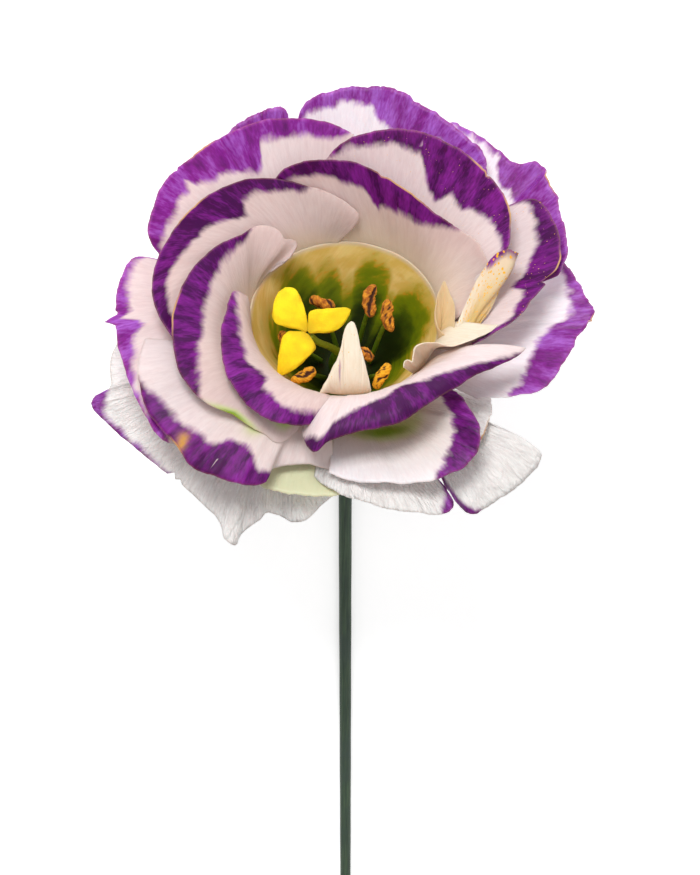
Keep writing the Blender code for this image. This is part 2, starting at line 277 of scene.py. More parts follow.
# ---- receptacle and calyx --------------------------------------------------------------
# The green button at the stem's top carries the flower, and five thin pointed lobes spread
# from it under the petals.  They grow as one piece with it; each lobe has a raised midrib.
RECEPTACLE_PROFILE = [(0.02, 0.2), (1.3, 0.2), (2.4, 0.1), (2.85, -0.3), (2.9, -0.7), (2.65, -1.3),
                      (2.1, -2.0), (1.4, -2.55), (0.9, -2.7), (0.02, -2.7)]
HOLLOW_DEPTH = 0.035
LOBE_THICK, LOBE_RISE = 0.3, 10
LOBE_MIDS = [54 + 72 * k for k in range(5)]  # angles round the bloom, in degrees
CLAW_PULL, EDGE_PULL = 0.4, 0.35             # shares of a blade's length that keep an end's slope
FAN_OUT = 0.8                                # below 1, a blade fans out mostly near its claw


def turned(profile, around, flute=None):
    """A solid of revolution about the bloom's axis: points, faces and grain."""
    profile = np.asarray(profile, float)
    run = np.concatenate(([0], np.cumsum(np.linalg.norm(np.diff(profile, axis=0), axis=1))))
    turn = np.arange(around) / around
    points, grain = [], []
    for k, (r, h) in enumerate(profile):
        size = r * (flute(h, turn) if flute else np.ones(around))
        points.append(np.stack((size * np.cos(math.tau * turn), size * np.sin(math.tau * turn),
                                np.full(around, h)), 1))
        grain += [(max(r, 1.0) * math.tau * u, run[k], 0.0) for u in turn]
    faces = []
    for k in range(len(profile) - 1):
        for i in range(around):
            j = (i + 1) % around
            faces.append((k * around + i, (k + 1) * around + i, (k + 1) * around + j, k * around + j))
    if profile[0][0] < 0.1:
        faces += [tuple(range(around)), tuple(reversed(range((len(profile) - 1) * around,
                                                             len(profile) * around)))]
    else:
        last = (len(profile) - 1) * around
        faces += [(last + i, i, (i + 1) % around, last + (i + 1) % around) for i in range(around)]
    return np.vstack(points), faces, np.array(grain)


def waves(x, seed, first, count=4, fade=0.6):
    """Uneven waves over x, about -1 to 1, and always the same for the same seed."""
    rng = np.random.default_rng(seed)
    total = sum(fade ** k * np.sin(math.tau * (first * 1.73 ** k * x + rng.random()))
                for k in range(count))
    return total / sum(fade ** k for k in range(count))


def polar(angle, radius, height):
    """Points from angles in degrees, radii and heights about the bloom's axis."""
    a = np.radians(angle)
    return np.stack(np.broadcast_arrays(radius * np.cos(a), radius * np.sin(a), height), -1)


def free_edge(stops, s):
    """The free edge at s from 0 to 1, smooth through its stops (angle, radius, height)."""
    stops = np.asarray(stops, float)
    steps = np.linalg.norm(np.diff(polar(*stops.T), axis=0), axis=1)
    starts = np.concatenate(([0], np.cumsum(steps)))
    run = s * starts[-1]
    i = np.clip(np.searchsorted(starts, run, side="left") - 1, 0, len(steps) - 1)
    f = ((run - starts[i]) / steps[i])[:, None]
    last = len(steps)
    p, q, r, t = stops[np.maximum(i - 1, 0)], stops[i], stops[i + 1], stops[np.minimum(i + 2, last)]
    return 0.5 * (2 * q + (r - p) * f + (2 * p - 5 * q + 4 * r - t) * f ** 2
                  + (3 * q - p - 3 * r + t) * f ** 3)


def blade(petal, rise, s, t):
    """A blade's points at s across it and t from its claw (0) to its free edge (1).

    It rises from the claw at one slope and comes to the edge at another, its flare."""
    first, last = (np.asarray(end, float) for end in petal["claw"])
    claw = first + (last - first) * s[:, None]
    edge = free_edge(petal["edge"], s)
    flare = np.radians(petal["flare"][0] + (petal["flare"][1] - petal["flare"][0]) * s)
    length = np.hypot(edge[:, 1] - claw[:, 1], edge[:, 2] - claw[:, 2])
    up = math.radians(rise)
    r = (claw[:, 1], claw[:, 1] + CLAW_PULL * length * math.cos(up),
         edge[:, 1] - EDGE_PULL * length * np.cos(flare), edge[:, 1])
    h = (claw[:, 2], claw[:, 2] + CLAW_PULL * length * math.sin(up),
         edge[:, 2] - EDGE_PULL * length * np.sin(flare), edge[:, 2])
    w = ((1 - t) ** 3, 3 * t * (1 - t) ** 2, 3 * t * t * (1 - t), t ** 3)
    angle = claw[:, :1] + (edge[:, :1] - claw[:, :1]) * t ** FAN_OUT
    return polar(angle, sum(a[:, None] * b for a, b in zip(r, w)),
                 sum(a[:, None] * b for a, b in zip(h, w)))


def facing(grid):
    """Unit normals of a grid of points, and the sign that turns them up and in to the bloom."""
    n = np.cross(np.gradient(grid, axis=0), np.gradient(grid, axis=1))
    n /= np.maximum(np.linalg.norm(n, axis=2), 1e-9)[..., None]
    inward = np.array((0, 0, 1.0)) - 0.03 * grid * (1, 1, 0)
    return n, (1.0 if (n * inward).sum() > 0 else -1.0)


def shell(grid, thickness):
    """A thin closed sheet round a grid of points: all its points and faces."""
    normals, _ = facing(grid)
    rows, columns = grid.shape[:2]
    half = (thickness / 2)[..., None] * normals
    points = np.vstack(((grid + half).reshape(-1, 3), (grid - half).reshape(-1, 3)))
    size = rows * columns
    faces = []
    for i in range(rows - 1):
        for j in range(columns - 1):
            a, b, c, d = (i * columns + j, (i + 1) * columns + j, (i + 1) * columns + j + 1,
                          i * columns + j + 1)
            faces += [(a, b, c, d), (size + d, size + c, size + b, size + a)]
    rim = ([i * columns for i in range(rows)]
           + [(rows - 1) * columns + j for j in range(1, columns)]
           + [i * columns + columns - 1 for i in range(rows - 2, -1, -1)]
           + [j for j in range(columns - 2, 0, -1)])
    faces += [(b, a, size + a, size + b) for a, b in zip(rim, rim[1:] + rim[:1])]
    return points, faces


green_skin, tree, shader = new_material("calyx_skin", Roughness=0.48, Subsurface_Weight=0.1,
                                        Subsurface_Scale=0.0006)
coords = carried(tree, "grain", "Vector")
fibres = use_group(tree, fibre_grain, {"Grain": coords, "Threads per mm": 2.4, "Length": 14.0})
colour = blend_of(tree, fibres.outputs["Streak"], srgb(56, 82, 44), srgb(92, 120, 62))
pale = carried(tree, "pale")
colour = blend_of(tree, pale, colour, srgb(150, 168, 96))
finish_skin(tree, shader, colour, fibres.outputs["Height"], 0.5, 0.1)


def receptacle_ribs(h, turn):
    """Five soft hollows round the button, one between each two lobes, fainter on its top."""
    return 1 - HOLLOW_DEPTH * (1 + np.cos(math.tau * 5 * (turn - 0.05))) * (1 if h < 0 else 0.3)


profile = smooth_path([(r, 0, h) for r, h in RECEPTACLE_PROFILE], 46)[:, ::2]
points, faces, grain = turned(profile[::-1], 60, receptacle_ribs)
make_piece("green_receptacle", points, faces, {"grain": grain, "pale": np.zeros(len(points))},
           green_skin, "calyx", "receptacle")

for k, mid in enumerate(LOBE_MIDS):
    lobe = dict(claw=[(mid - 24, 3.4, -0.3), (mid + 24, 3.4, -0.3)], flare=(25, 25),
                edge=[(mid - 9, 8, 0.9), (mid - 5, 12, 2.6), (mid, 16, 4.6),
                      (mid + 5, 12, 2.6), (mid + 9, 8, 0.9)])
    s, t = np.linspace(0, 1, 33), np.linspace(0, 1, 29)
    grid = blade(lobe, LOBE_RISE, s, np.broadcast_to(t, (33, 29)))
    normals, side = facing(grid)
    midrib = np.exp(-((s - 0.5) / 0.07) ** 2)[:, None]
    bow = 0.25 * waves(t + k, 70 + k, 1.0, 2)[None, :] * t ** 2
    grid = grid + (side * (bow - 0.12 * midrib))[..., None] * normals
    points, faces = shell(grid, LOBE_THICK * (0.45 + 0.55 * midrib) * (1 - 0.5 * t))
    along = np.broadcast_to(t * 13, (33, 29)).ravel()
    wide = np.broadcast_to(s[:, None] * 5, (33, 29)).ravel()
    pale = np.broadcast_to(0.7 * midrib + 0.5 * (np.abs(s - 0.5)[:, None] > 0.44), (33, 29)).ravel()
    grain = np.stack((wide, along, np.full_like(wide, k)), 1)
    make_piece("calyx_lobe_leaf_%d" % (k + 1), points, faces,
               {"grain": np.vstack((grain, grain)), "pale": np.tile(pale, 2)},
               green_skin, "calyx", "calyx_lobe_%d" % (k + 1))

# ---- corolla tube ----------------------------------------------------------------------
# The petals' bases are grown together into a bell, which all of them stand on.  Inside it is
# tan, with green patches that round off at their tops and run dark at the bottom.
TUBE_FOOT_R, TUBE_MOUTH_R = 3.0, 14.4
TUBE_FOOT_H, TUBE_MOUTH_H = 0.6, 15.0
TUBE_WALL = 0.42
TUBE_LIP_H, LIP_WALL = 14.2, 0.06            # above the lip the wall is the petals' own
LIP_PALE_FROM, LIP_PALE_TO = 0.7, 0.1        # below the lip, where the tan turns to petal colour
TUBE_HOLE_R = 1.0                            # the foot closes in to this, under the ovary
TUBE_SEAT_R, TUBE_SEAT_H = 2.6, 0.1          # where the foot rests on the receptacle
TUBE_CURVE = 0.7                             # below 1, the bell opens fast and then stands up
FLUTES, FLUTE_DEPTH = 10, 0.003
# each green patch's middle and half-width in degrees, with its height between them
PATCHES = [(18, 11.8, 28), (68, 11.3, 15), (104, 10.2, 11), (130, 11.8, 19), (167, 9.6, 22),
           (205, 8.6, 20), (242, 8.0, 14), (280, 8.0, 14), (318, 8.0, 14), (350, 7.6, 12)]
PATCH_FLOOR = 7.2                            # height where the patches join


def tube_radius(h):
    share = np.clip((h - TUBE_FOOT_H) / (TUBE_MOUTH_H - TUBE_FOOT_H), 0, 1)
    return TUBE_FOOT_R + (TUBE_MOUTH_R - TUBE_FOOT_R) * share ** TUBE_CURVE


def patch_top(angle):
    """Height that the green reaches at an angle in degrees."""
    top = np.full_like(angle, PATCH_FLOOR)
    for middle, height, half_width in PATCHES:
        off = np.abs((angle - middle + 180) % 360 - 180) / half_width
        dome = np.sqrt(np.clip(1 - off ** 2, 0, 1))
        top = np.maximum(top, PATCH_FLOOR + (height - PATCH_FLOOR) * dome)
    return top


def tube_flute(h, turn):
    """Shallow flutes, which start above the foot and are full a little over half-way up."""
    return 1 - FLUTE_DEPTH * np.cos(math.tau * FLUTES * (turn - 0.09)) * min(max(h - 2, 0) / 8, 1)


heights = np.linspace(TUBE_FOOT_H, TUBE_LIP_H, 60)
walls = np.interp(heights, (0, TUBE_LIP_H - 2, TUBE_LIP_H), (TUBE_WALL / 2, TUBE_WALL / 2, LIP_WALL))
inside = [(float(tube_radius(h)) - wall, h) for h, wall in zip(heights, walls)]
outside = [(float(tube_radius(h)) + wall, h - 0.05) for h, wall in zip(heights, walls)]
inside.insert(0, (TUBE_HOLE_R, TUBE_FOOT_H - 0.1))
outside = [(TUBE_HOLE_R, TUBE_SEAT_H), (TUBE_SEAT_R, TUBE_SEAT_H)] + outside
points, faces, grain = turned(inside + outside[::-1], 180, tube_flute)
angle = np.degrees(np.arctan2(points[:, 1], points[:, 0]))
green_depth = patch_top(angle) - points[:, 2]
lip = np.clip((points[:, 2] - TUBE_LIP_H + LIP_PALE_FROM) / (LIP_PALE_FROM - LIP_PALE_TO), 0, 1)

throat_skin, tree, shader = new_material("throat_skin", Roughness=0.5, Specular_IOR_Level=0.2,
                                         Subsurface_Weight=0.25, Subsurface_Scale=0.0008)
coords = carried(tree, "grain", "Vector")
depth = carried(tree, "green_depth")
fibres = use_group(tree, fibre_grain, {"Grain": coords, "Threads per mm": 1.6, "Length": 9.0})
mottle = put(tree, "TexNoise", {"Vector": coords, "Scale": 0.35, "Detail": 4.0})
depth = math_of(tree, "ADD", depth, spread(tree, mottle.outputs[0], 0.3, 0.7, -1.0, 1.0))
tan = blend_of(tree, spread(tree, mottle.outputs[0], 0.35, 0.65), srgb(208, 172, 88),
               srgb(226, 196, 124))
tan = blend_of(tree, math_of(tree, "MULTIPLY", fibres.outputs["Streak"], 0.25), tan, srgb(194, 160, 70))
colour = blend_of(tree, spread(tree, depth, -3.2, 0.4), tan, srgb(164, 144, 24))
colour = blend_of(tree, spread(tree, depth, -1.0, 1.4), colour, srgb(110, 122, 2))
colour = blend_of(tree, spread(tree, depth, 0.8, 4.0), colour, srgb(68, 84, 2))
colour = blend_of(tree, spread(tree, depth, 2.5, 6.5), colour, srgb(26, 38, 0))
orange = put(tree, "TexNoise", {"Vector": coords, "Scale": 1.3, "Detail": 3.0})
top_edge = math_of(tree, "MULTIPLY", spread(tree, depth, -2.4, -0.4), spread(tree, depth, 1.2, 0.0))
spots = math_of(tree, "MULTIPLY", spread(tree, orange.outputs[0], 0.52, 0.66), top_edge)
colour = blend_of(tree, math_of(tree, "MULTIPLY", spots, 0.6), colour, srgb(196, 134, 30))
colour = blend_of(tree, carried(tree, "lip"), colour, srgb(210, 186, 160))
finish_skin(tree, shader, colour, fibres.outputs["Height"], 0.4, 0.1)
make_piece("throat_bell", points, faces, {"grain": grain, "green_depth": green_depth, "lip": lip},
           throat_skin, "corolla_tube", "corolla_tube")

# ---- ovary and style -------------------------------------------------------------------
# The ovary is a smooth green flask on the receptacle, seamed down two sides.  The olive style
# rises from its neck and leans out to hold up the stigma.
SEAM_DEPTH, SEAM_WIDTH = 0.05, 0.12
OVARY_FOOT, OVARY_LEAN = Vector((0, -0.3, 0.6)), Vector((-0.11, -0.26, 0.96))
OVARY_PROFILE = [(0.02, 0.02), (1.15, 0.3), (1.75, 1.1), (2.0, 2.2), (2.08, 3.6), (1.85, 5.2),
                 (1.4, 6.8), (0.95, 7.9), (0.6, 8.6), (0.02, 8.85)]
STYLE_RADII = [(0, 0.62), (0.3, 0.5), (0.8, 0.48), (1, 0.6)]   # share of its length, radius
STYLE_STOPS = [(-1.1, -2.7, 9.6), (-2.2, -3.3, 11.6), (-3.8, -3.9, 13.6), (-5.1, -4.0, 15.4)]


def ovary_seams(h, turn):
    return 1 - SEAM_DEPTH * np.exp(-(np.sin(math.tau * turn) / SEAM_WIDTH) ** 2)


def lean_to(points, direction, at):
    """Turns points drawn about +Z so that they stand along a direction, and moves them."""
    turn = np.array(direction.to_track_quat("Z", "Y").to_matrix())
    return points @ turn.T + np.array(at)


pistil_skin, tree, shader = new_material("pistil_skin", Roughness=0.5, Specular_IOR_Level=0.25,
                                         Subsurface_Weight=0.15, Subsurface_Scale=0.0006)
coords = carried(tree, "grain", "Vector")
fibres = use_group(tree, fibre_grain, {"Grain": coords, "Threads per mm": 2.0, "Length": 8.0})
mottle = put(tree, "TexNoise", {"Vector": coords, "Scale": 0.9, "Detail": 3.0})
tint_strength = carried(tree, "tint_strength")
colour = blend_of(tree, fibres.outputs["Streak"], srgb(62, 98, 16), srgb(92, 128, 28))
colour = blend_of(tree, tint_strength, colour, srgb(138, 146, 30))
colour = blend_of(tree, math_of(tree, "MULTIPLY", spread(tree, mottle.outputs[0], 0.5, 0.8), 0.5), colour,
                  srgb(158, 164, 52))
finish_skin(tree, shader, colour, fibres.outputs["Height"], 0.35, 0.08)

profile = smooth_path([(r, 0, h) for r, h in OVARY_PROFILE], 44)[:, ::2]
points, faces, grain = turned(profile[::-1], 48, ovary_seams)
make_piece("ovary_flask", lean_to(points, OVARY_LEAN, OVARY_FOOT), faces,
           {"grain": grain, "tint_strength": np.zeros(len(points))}, pistil_skin, "ovary", "ovary")

path = smooth_path(STYLE_STOPS, 30)
points, faces, grain = sweep(path, np.interp(np.linspace(0, 1, 30), *zip(*STYLE_RADII)), 20)
make_piece("style_column", points, faces, {"grain": grain, "tint_strength": np.full(len(points), 0.8)},
           pistil_skin, "style", "style")

# ---- stigma ----------------------------------------------------------------------------
# Three plump yellow lobes open flat at the style's tip.  Each is a soft wedge, narrow at the
# middle and square-shouldered at its end, and its face is matt with tiny grains.
STIGMA_AT = Vector((-5.4, -4.0, 16.2))
FACE = Vector((0, -0.54, 0.84)).normalized()
ACROSS, UP = Vector((1, 0, 0)), Vector((0, 0.84, 0.54)).normalized()
LOBE_HEIGHT = 0.62                           # half the lobe's thickness
DENT_DEPTH, DENT_WIDTH = 0.16, 0.35          # the hollow down the middle of each lobe's face
ROUGHNESS = 0.035
# each lobe's lean in degrees, then stations: length from the middle, left and right half-widths
STIGMA_LOBES = [
    (124, [(0.15, 0.25, 0.25), (1.0, 0.8, 0.75), (2.2, 2.0, 1.3), (3.6, 3.0, 1.75), (4.7, 2.9, 2.0),
           (5.7, 2.1, 2.1), (6.6, 1.2, 1.8), (7.2, 0.2, 1.0)]),
    (28, [(0.15, 0.25, 0.25), (0.8, 1.3, 0.6), (1.5, 2.3, 0.9), (2.4, 2.4, 1.4), (3.6, 1.9, 1.7),
          (5.0, 1.3, 1.5), (6.4, 0.7, 0.7), (7.05, 0.1, 0.1)]),
    (236, [(0.15, 0.5, 0.5), (0.8, 1.9, 1.5), (1.5, 2.3, 2.4), (2.8, 2.1, 2.5), (4.4, 1.8, 1.9),
           (5.8, 1.3, 1.2), (6.9, 0.7, 0.6), (7.4, 0.1, 0.2)]),
]

stigma_skin, tree, shader = new_material("stigma_skin", Roughness=0.85, Subsurface_Weight=0.2,
                                         Subsurface_Scale=0.0008)
coords = put(tree, "TexCoord").outputs["Object"]
grains = put(tree, "TexVoronoi", {"Vector": coords, "Scale": 5200.0, "Randomness": 1.0})
cloud = put(tree, "TexNoise", {"Vector": coords, "Scale": 420.0, "Detail": 4.0})
hollow = carried(tree, "hollow")
colour = blend_of(tree, spread(tree, cloud.outputs[0], 0.35, 0.7), srgb(238, 198, 0), srgb(250, 218, 6))
colour = blend_of(tree, hollow, colour, srgb(196, 160, 6))
finish_skin(tree, shader, colour, grains.outputs["Distance"], 0.35, 0.06, pits=True)

for k, (lean, stations) in enumerate(STIGMA_LOBES):
    out = math.cos(math.radians(lean)) * ACROSS + math.sin(math.radians(lean)) * UP
    left = FACE.cross(out)
    stops = smooth_path(stations, 34)
    rows, columns = len(stops), 40
    points, hollow = [], []
    length = stops[-1][0]
    for reach, half_left, half_right in stops:
        u = reach / length
        lift = 0.35 * math.sin(math.pi * u) - 0.5 * u ** 3
        depth = LOBE_HEIGHT * min(1, 0.45 + 1.6 * u) * math.sqrt(max(1 - u ** 6, 0.02))
        for i in range(columns):
            a = math.tau * i / columns
            c, d = math.cos(a), math.sin(a)
            wide = (half_left if c > 0 else half_right) * math.copysign(abs(c) ** 0.75, c)
            deep = depth * math.copysign(abs(d) ** 0.7, d)
            dent = DENT_DEPTH * math.exp(-(c / DENT_WIDTH) ** 2) * math.sin(math.pi * min(u * 1.1, 1))
            dent = dent if d > 0 else 0
            rough = ROUGHNESS * math.sin(7.0 * a + 3.1 * k) * math.sin(5.3 * u * math.pi + k)
            points.append(np.array(STIGMA_AT + out * reach + left * (wide * (1 + rough))
                                   + FACE * (lift + deep - dent + rough)))
            hollow.append(max(0.0, 1 - u * 4) * 0.8)
    centre = len(points)
    points += [np.mean(points[:columns], 0), np.mean(points[-columns:], 0)]
    hollow += [0.8, 0.0]
    faces = [(r * columns + i, r * columns + (i + 1) % columns,
              (r + 1) * columns + (i + 1) % columns, (r + 1) * columns + i)
             for r in range(rows - 1) for i in range(columns)]
    faces += [(centre, (i + 1) % columns, i) for i in range(columns)]
    faces += [(centre + 1, (rows - 1) * columns + i, (rows - 1) * columns + (i + 1) % columns)
              for i in range(columns)]
    make_piece("stigma_cushion_%d" % (k + 1), points, faces, {"hollow": hollow}, stigma_skin, "stigma",
               "stigma_lobe_%d" % (k + 1))

# ---- filaments and anthers -------------------------------------------------------------
# Seven stamens stand in the bell round the ovary.  Each is a thin green thread grown to the
# bell's foot, and at its top an anther that has dried, split and twisted, rusty with pollen.

# Each one's foot angle, then its anther's angle, radius, height, lean and length.
STAMENS = ((110, 128, 5.4, 12.0, 145, 4.0), (60, 40, 5.0, 14.0, 78, 5.0),
           (10, 5, 6.4, 14.0, 100, 5.0), (320, 299, 11.0, 13.3, 75, 4.2),
           (215, 237, 11.0, 12.9, 35, 4.0), (285, 300, 5.5, 11.6, 150, 3.0),
           (165, 190, 9.0, 10.6, 80, 3.0))
FRESH = (0.0, 0.0, 0.1, 0.75, 0.45, 0.0, 0.1)   # how orange each one's pollen still is
ANTHER_R, ANTHER_RINGS, ANTHER_SIDES = 0.95, 46, 44
SAC_DEPTH, SPLIT_DEPTH, SPLIT_WIDTH = 0.26, 0.34, 0.055   # shares of the anther's radius and round
SPLITS_AT = (0.12, 0.62)                     # shares of the way round the anther
FILAMENT_R, FILAMENT_RINGS, FILAMENT_SIDES = 0.4, 40, 16
FILAMENT_TAPER = [(0, 1.0), (0.15, 0.9), (0.8, 0.75), (1, 0.45)]
FILAMENT_FOOT_R, FILAMENT_FOOT_H = 3.7, 1.8
ANTHER_TO_FILAMENT = 1.4                     # anther's middle to the thread's top, behind it

anther_skin, tree, shader = new_material("anther_skin", Roughness=0.88)
coords = carried(tree, "grain", "Vector")
groove = carried(tree, "groove")
crumbs = put(tree, "TexVoronoi", {"Vector": coords, "Scale": 4.2})
cloud = put(tree, "TexNoise", {"Vector": coords, "Scale": 1.4, "Detail": 5.0, "Roughness": 0.65})
colour = blend_of(tree, spread(tree, cloud.outputs[0], 0.35, 0.68), srgb(160, 84, 18),
                  srgb(226, 148, 34))
colour = blend_of(tree, carried(tree, "fresh"), colour, srgb(244, 176, 24))
dark = math_of(tree, "MULTIPLY_ADD", cloud.outputs[0], 0.6, math_of(tree, "SUBTRACT", groove, 0.3))
colour = blend_of(tree, spread(tree, dark, 0.25, 0.62), colour, srgb(66, 28, 8))
finish_skin(tree, shader, colour, crumbs.outputs["Distance"], 0.6, 0.12, pits=True)

for k, (foot, angle, radius, height, lean, length) in enumerate(STAMENS):
    rng = np.random.default_rng(30 + k)
    at = Vector(polar(angle, radius, height))
    along = math.cos(math.radians(lean)) * ACROSS + math.sin(math.radians(lean)) * UP
    aside = FACE.cross(along)
    bow, hook = rng.uniform(0.25, 0.45), rng.uniform(-0.3, 0.3)
    stops = [at + along * (length * u) + aside * (bow * math.sin(u * 5.2 + k)) + FACE * (hook * u)
             for u in (-0.48, -0.3, -0.1, 0.1, 0.3, 0.48)]
    path = smooth_path([tuple(p) for p in stops], ANTHER_RINGS)
    u = np.linspace(0, 1, ANTHER_RINGS)
    swell = np.sqrt(np.clip(1 - np.abs(2 * u - 1) ** 3.2, 0.03, 1))
    phase = rng.uniform(0, 1, 3)

    def split(run, turn):
        """Two pollen sacs side by side, each split open along a wavering line."""
        sacs = 1 - SAC_DEPTH + SAC_DEPTH * np.abs(np.cos(math.tau * (turn + phase[0])))
        wander = 0.05 * math.sin(9 * run + math.tau * phase[1])
        for mouth in SPLITS_AT:
            off = (turn - mouth - wander + 0.5) % 1 - 0.5
            open_here = np.exp(-(off / SPLIT_WIDTH) ** 2) * math.sin(math.pi * run) ** 0.4
            sacs = sacs - SPLIT_DEPTH * open_here
        return sacs * (1 + 0.07 * np.sin(math.tau * (3 * turn + 4 * run + phase[2]))
                       + 0.05 * np.sin(math.tau * (7 * turn - 6 * run + phase[1])))

    points, faces, grain = sweep(path, ANTHER_R * swell, ANTHER_SIDES, split,
                                 twist=rng.uniform(1.6, 2.8))
    depths = [1 - split(v, np.arange(ANTHER_SIDES) / ANTHER_SIDES) for v in u]
    groove = np.clip(np.concatenate((np.ravel(depths), [0.3, 0.3])) * 1.9, 0, 1)
    make_piece("anther_pod_%d" % (k + 1), points, faces,
               {"grain": grain + (0, 0, 7.0 * k), "groove": groove,
                "fresh": np.full(len(points), FRESH[k])},
               anther_skin, "anthers", "anther_%d" % (k + 1))

    top = at - FACE * ANTHER_TO_FILAMENT
    low = Vector(polar(foot, FILAMENT_FOOT_R, FILAMENT_FOOT_H))
    middle = low.lerp(top, 0.5) + Vector((0, 0, 0.4))
    neck = top + FACE * 0.7
    path = smooth_path([tuple(p) for p in (low, middle, top, neck)], FILAMENT_RINGS)
    up = np.linspace(0, 1, FILAMENT_RINGS)
    thin = np.interp(up, *zip(*FILAMENT_TAPER))
    points, faces, grain = sweep(path, FILAMENT_R * thin, FILAMENT_SIDES)
    tint_strength = 0.15 + 0.4 * np.append(np.repeat(up, FILAMENT_SIDES), (0, 1))
    make_piece("filament_thread_%d" % (k + 1), points, faces, {"grain": grain, "tint_strength": tint_strength}, pistil_skin,
               "filaments", "filament_%d" % (k + 1))

# ---- outer petals ----------------------------------------------------------------------
# Ten petals make the outside of the bloom, the oldest ones dried to silver and curled back.
# Each is one thin soft blade, creased along its veins, with violet at its free edge.

# In a petal's entry, s runs across it from 0 to 1 and t up it from claw (0) to edge (1); heights,
# depths and sizes are in millimetres unless they are along s or t.
# claw, edge: its two ends, as (angle in degrees, radius, height) about the bloom's axis
# rise, flare: slopes in degrees, of the blade at its claw and of the edge's two ends
# band: (s, depth) of the violet from the edge, below 0 for none;  wash: how far it has paled
# sides: the violet's depth at its two sides;  violet_streak: (s, t) of a thin stroke of violet
# worn, ruffle: height of the edge's small notches and of its waves
# folds: (s, half width, height, t where it starts);  nicks: (s, half width, depth)
# tears: (s, half width, depth) of white slits in the violet
# tan: (s, half width) of dried edge;  scorch: (s, depth from the edge, size) of brown spots
# cream_and_shade: reach of the cream up t at its two sides;  tint_strength: its strength, set high where it
# paints shade
# green: (s, t, half width, half height, strength);  tinge: a little green all over
# dust: how much pollen lies on it;  silver: whether it has dried
PETAL_THICK = 0.24
RIM_WIDTH, RIM_SHARE = 1.2, 0.45             # the blade thins to this share at its very edge
CLAW_SHARE = 0.4                             # and to this one where it joins the bell
NO_VIOLET = -2                               # a depth so low that no violet shows
RUFFLE_FROM = 0.35                           # the edge's waves start this far up t
OUTER_RISE = 46
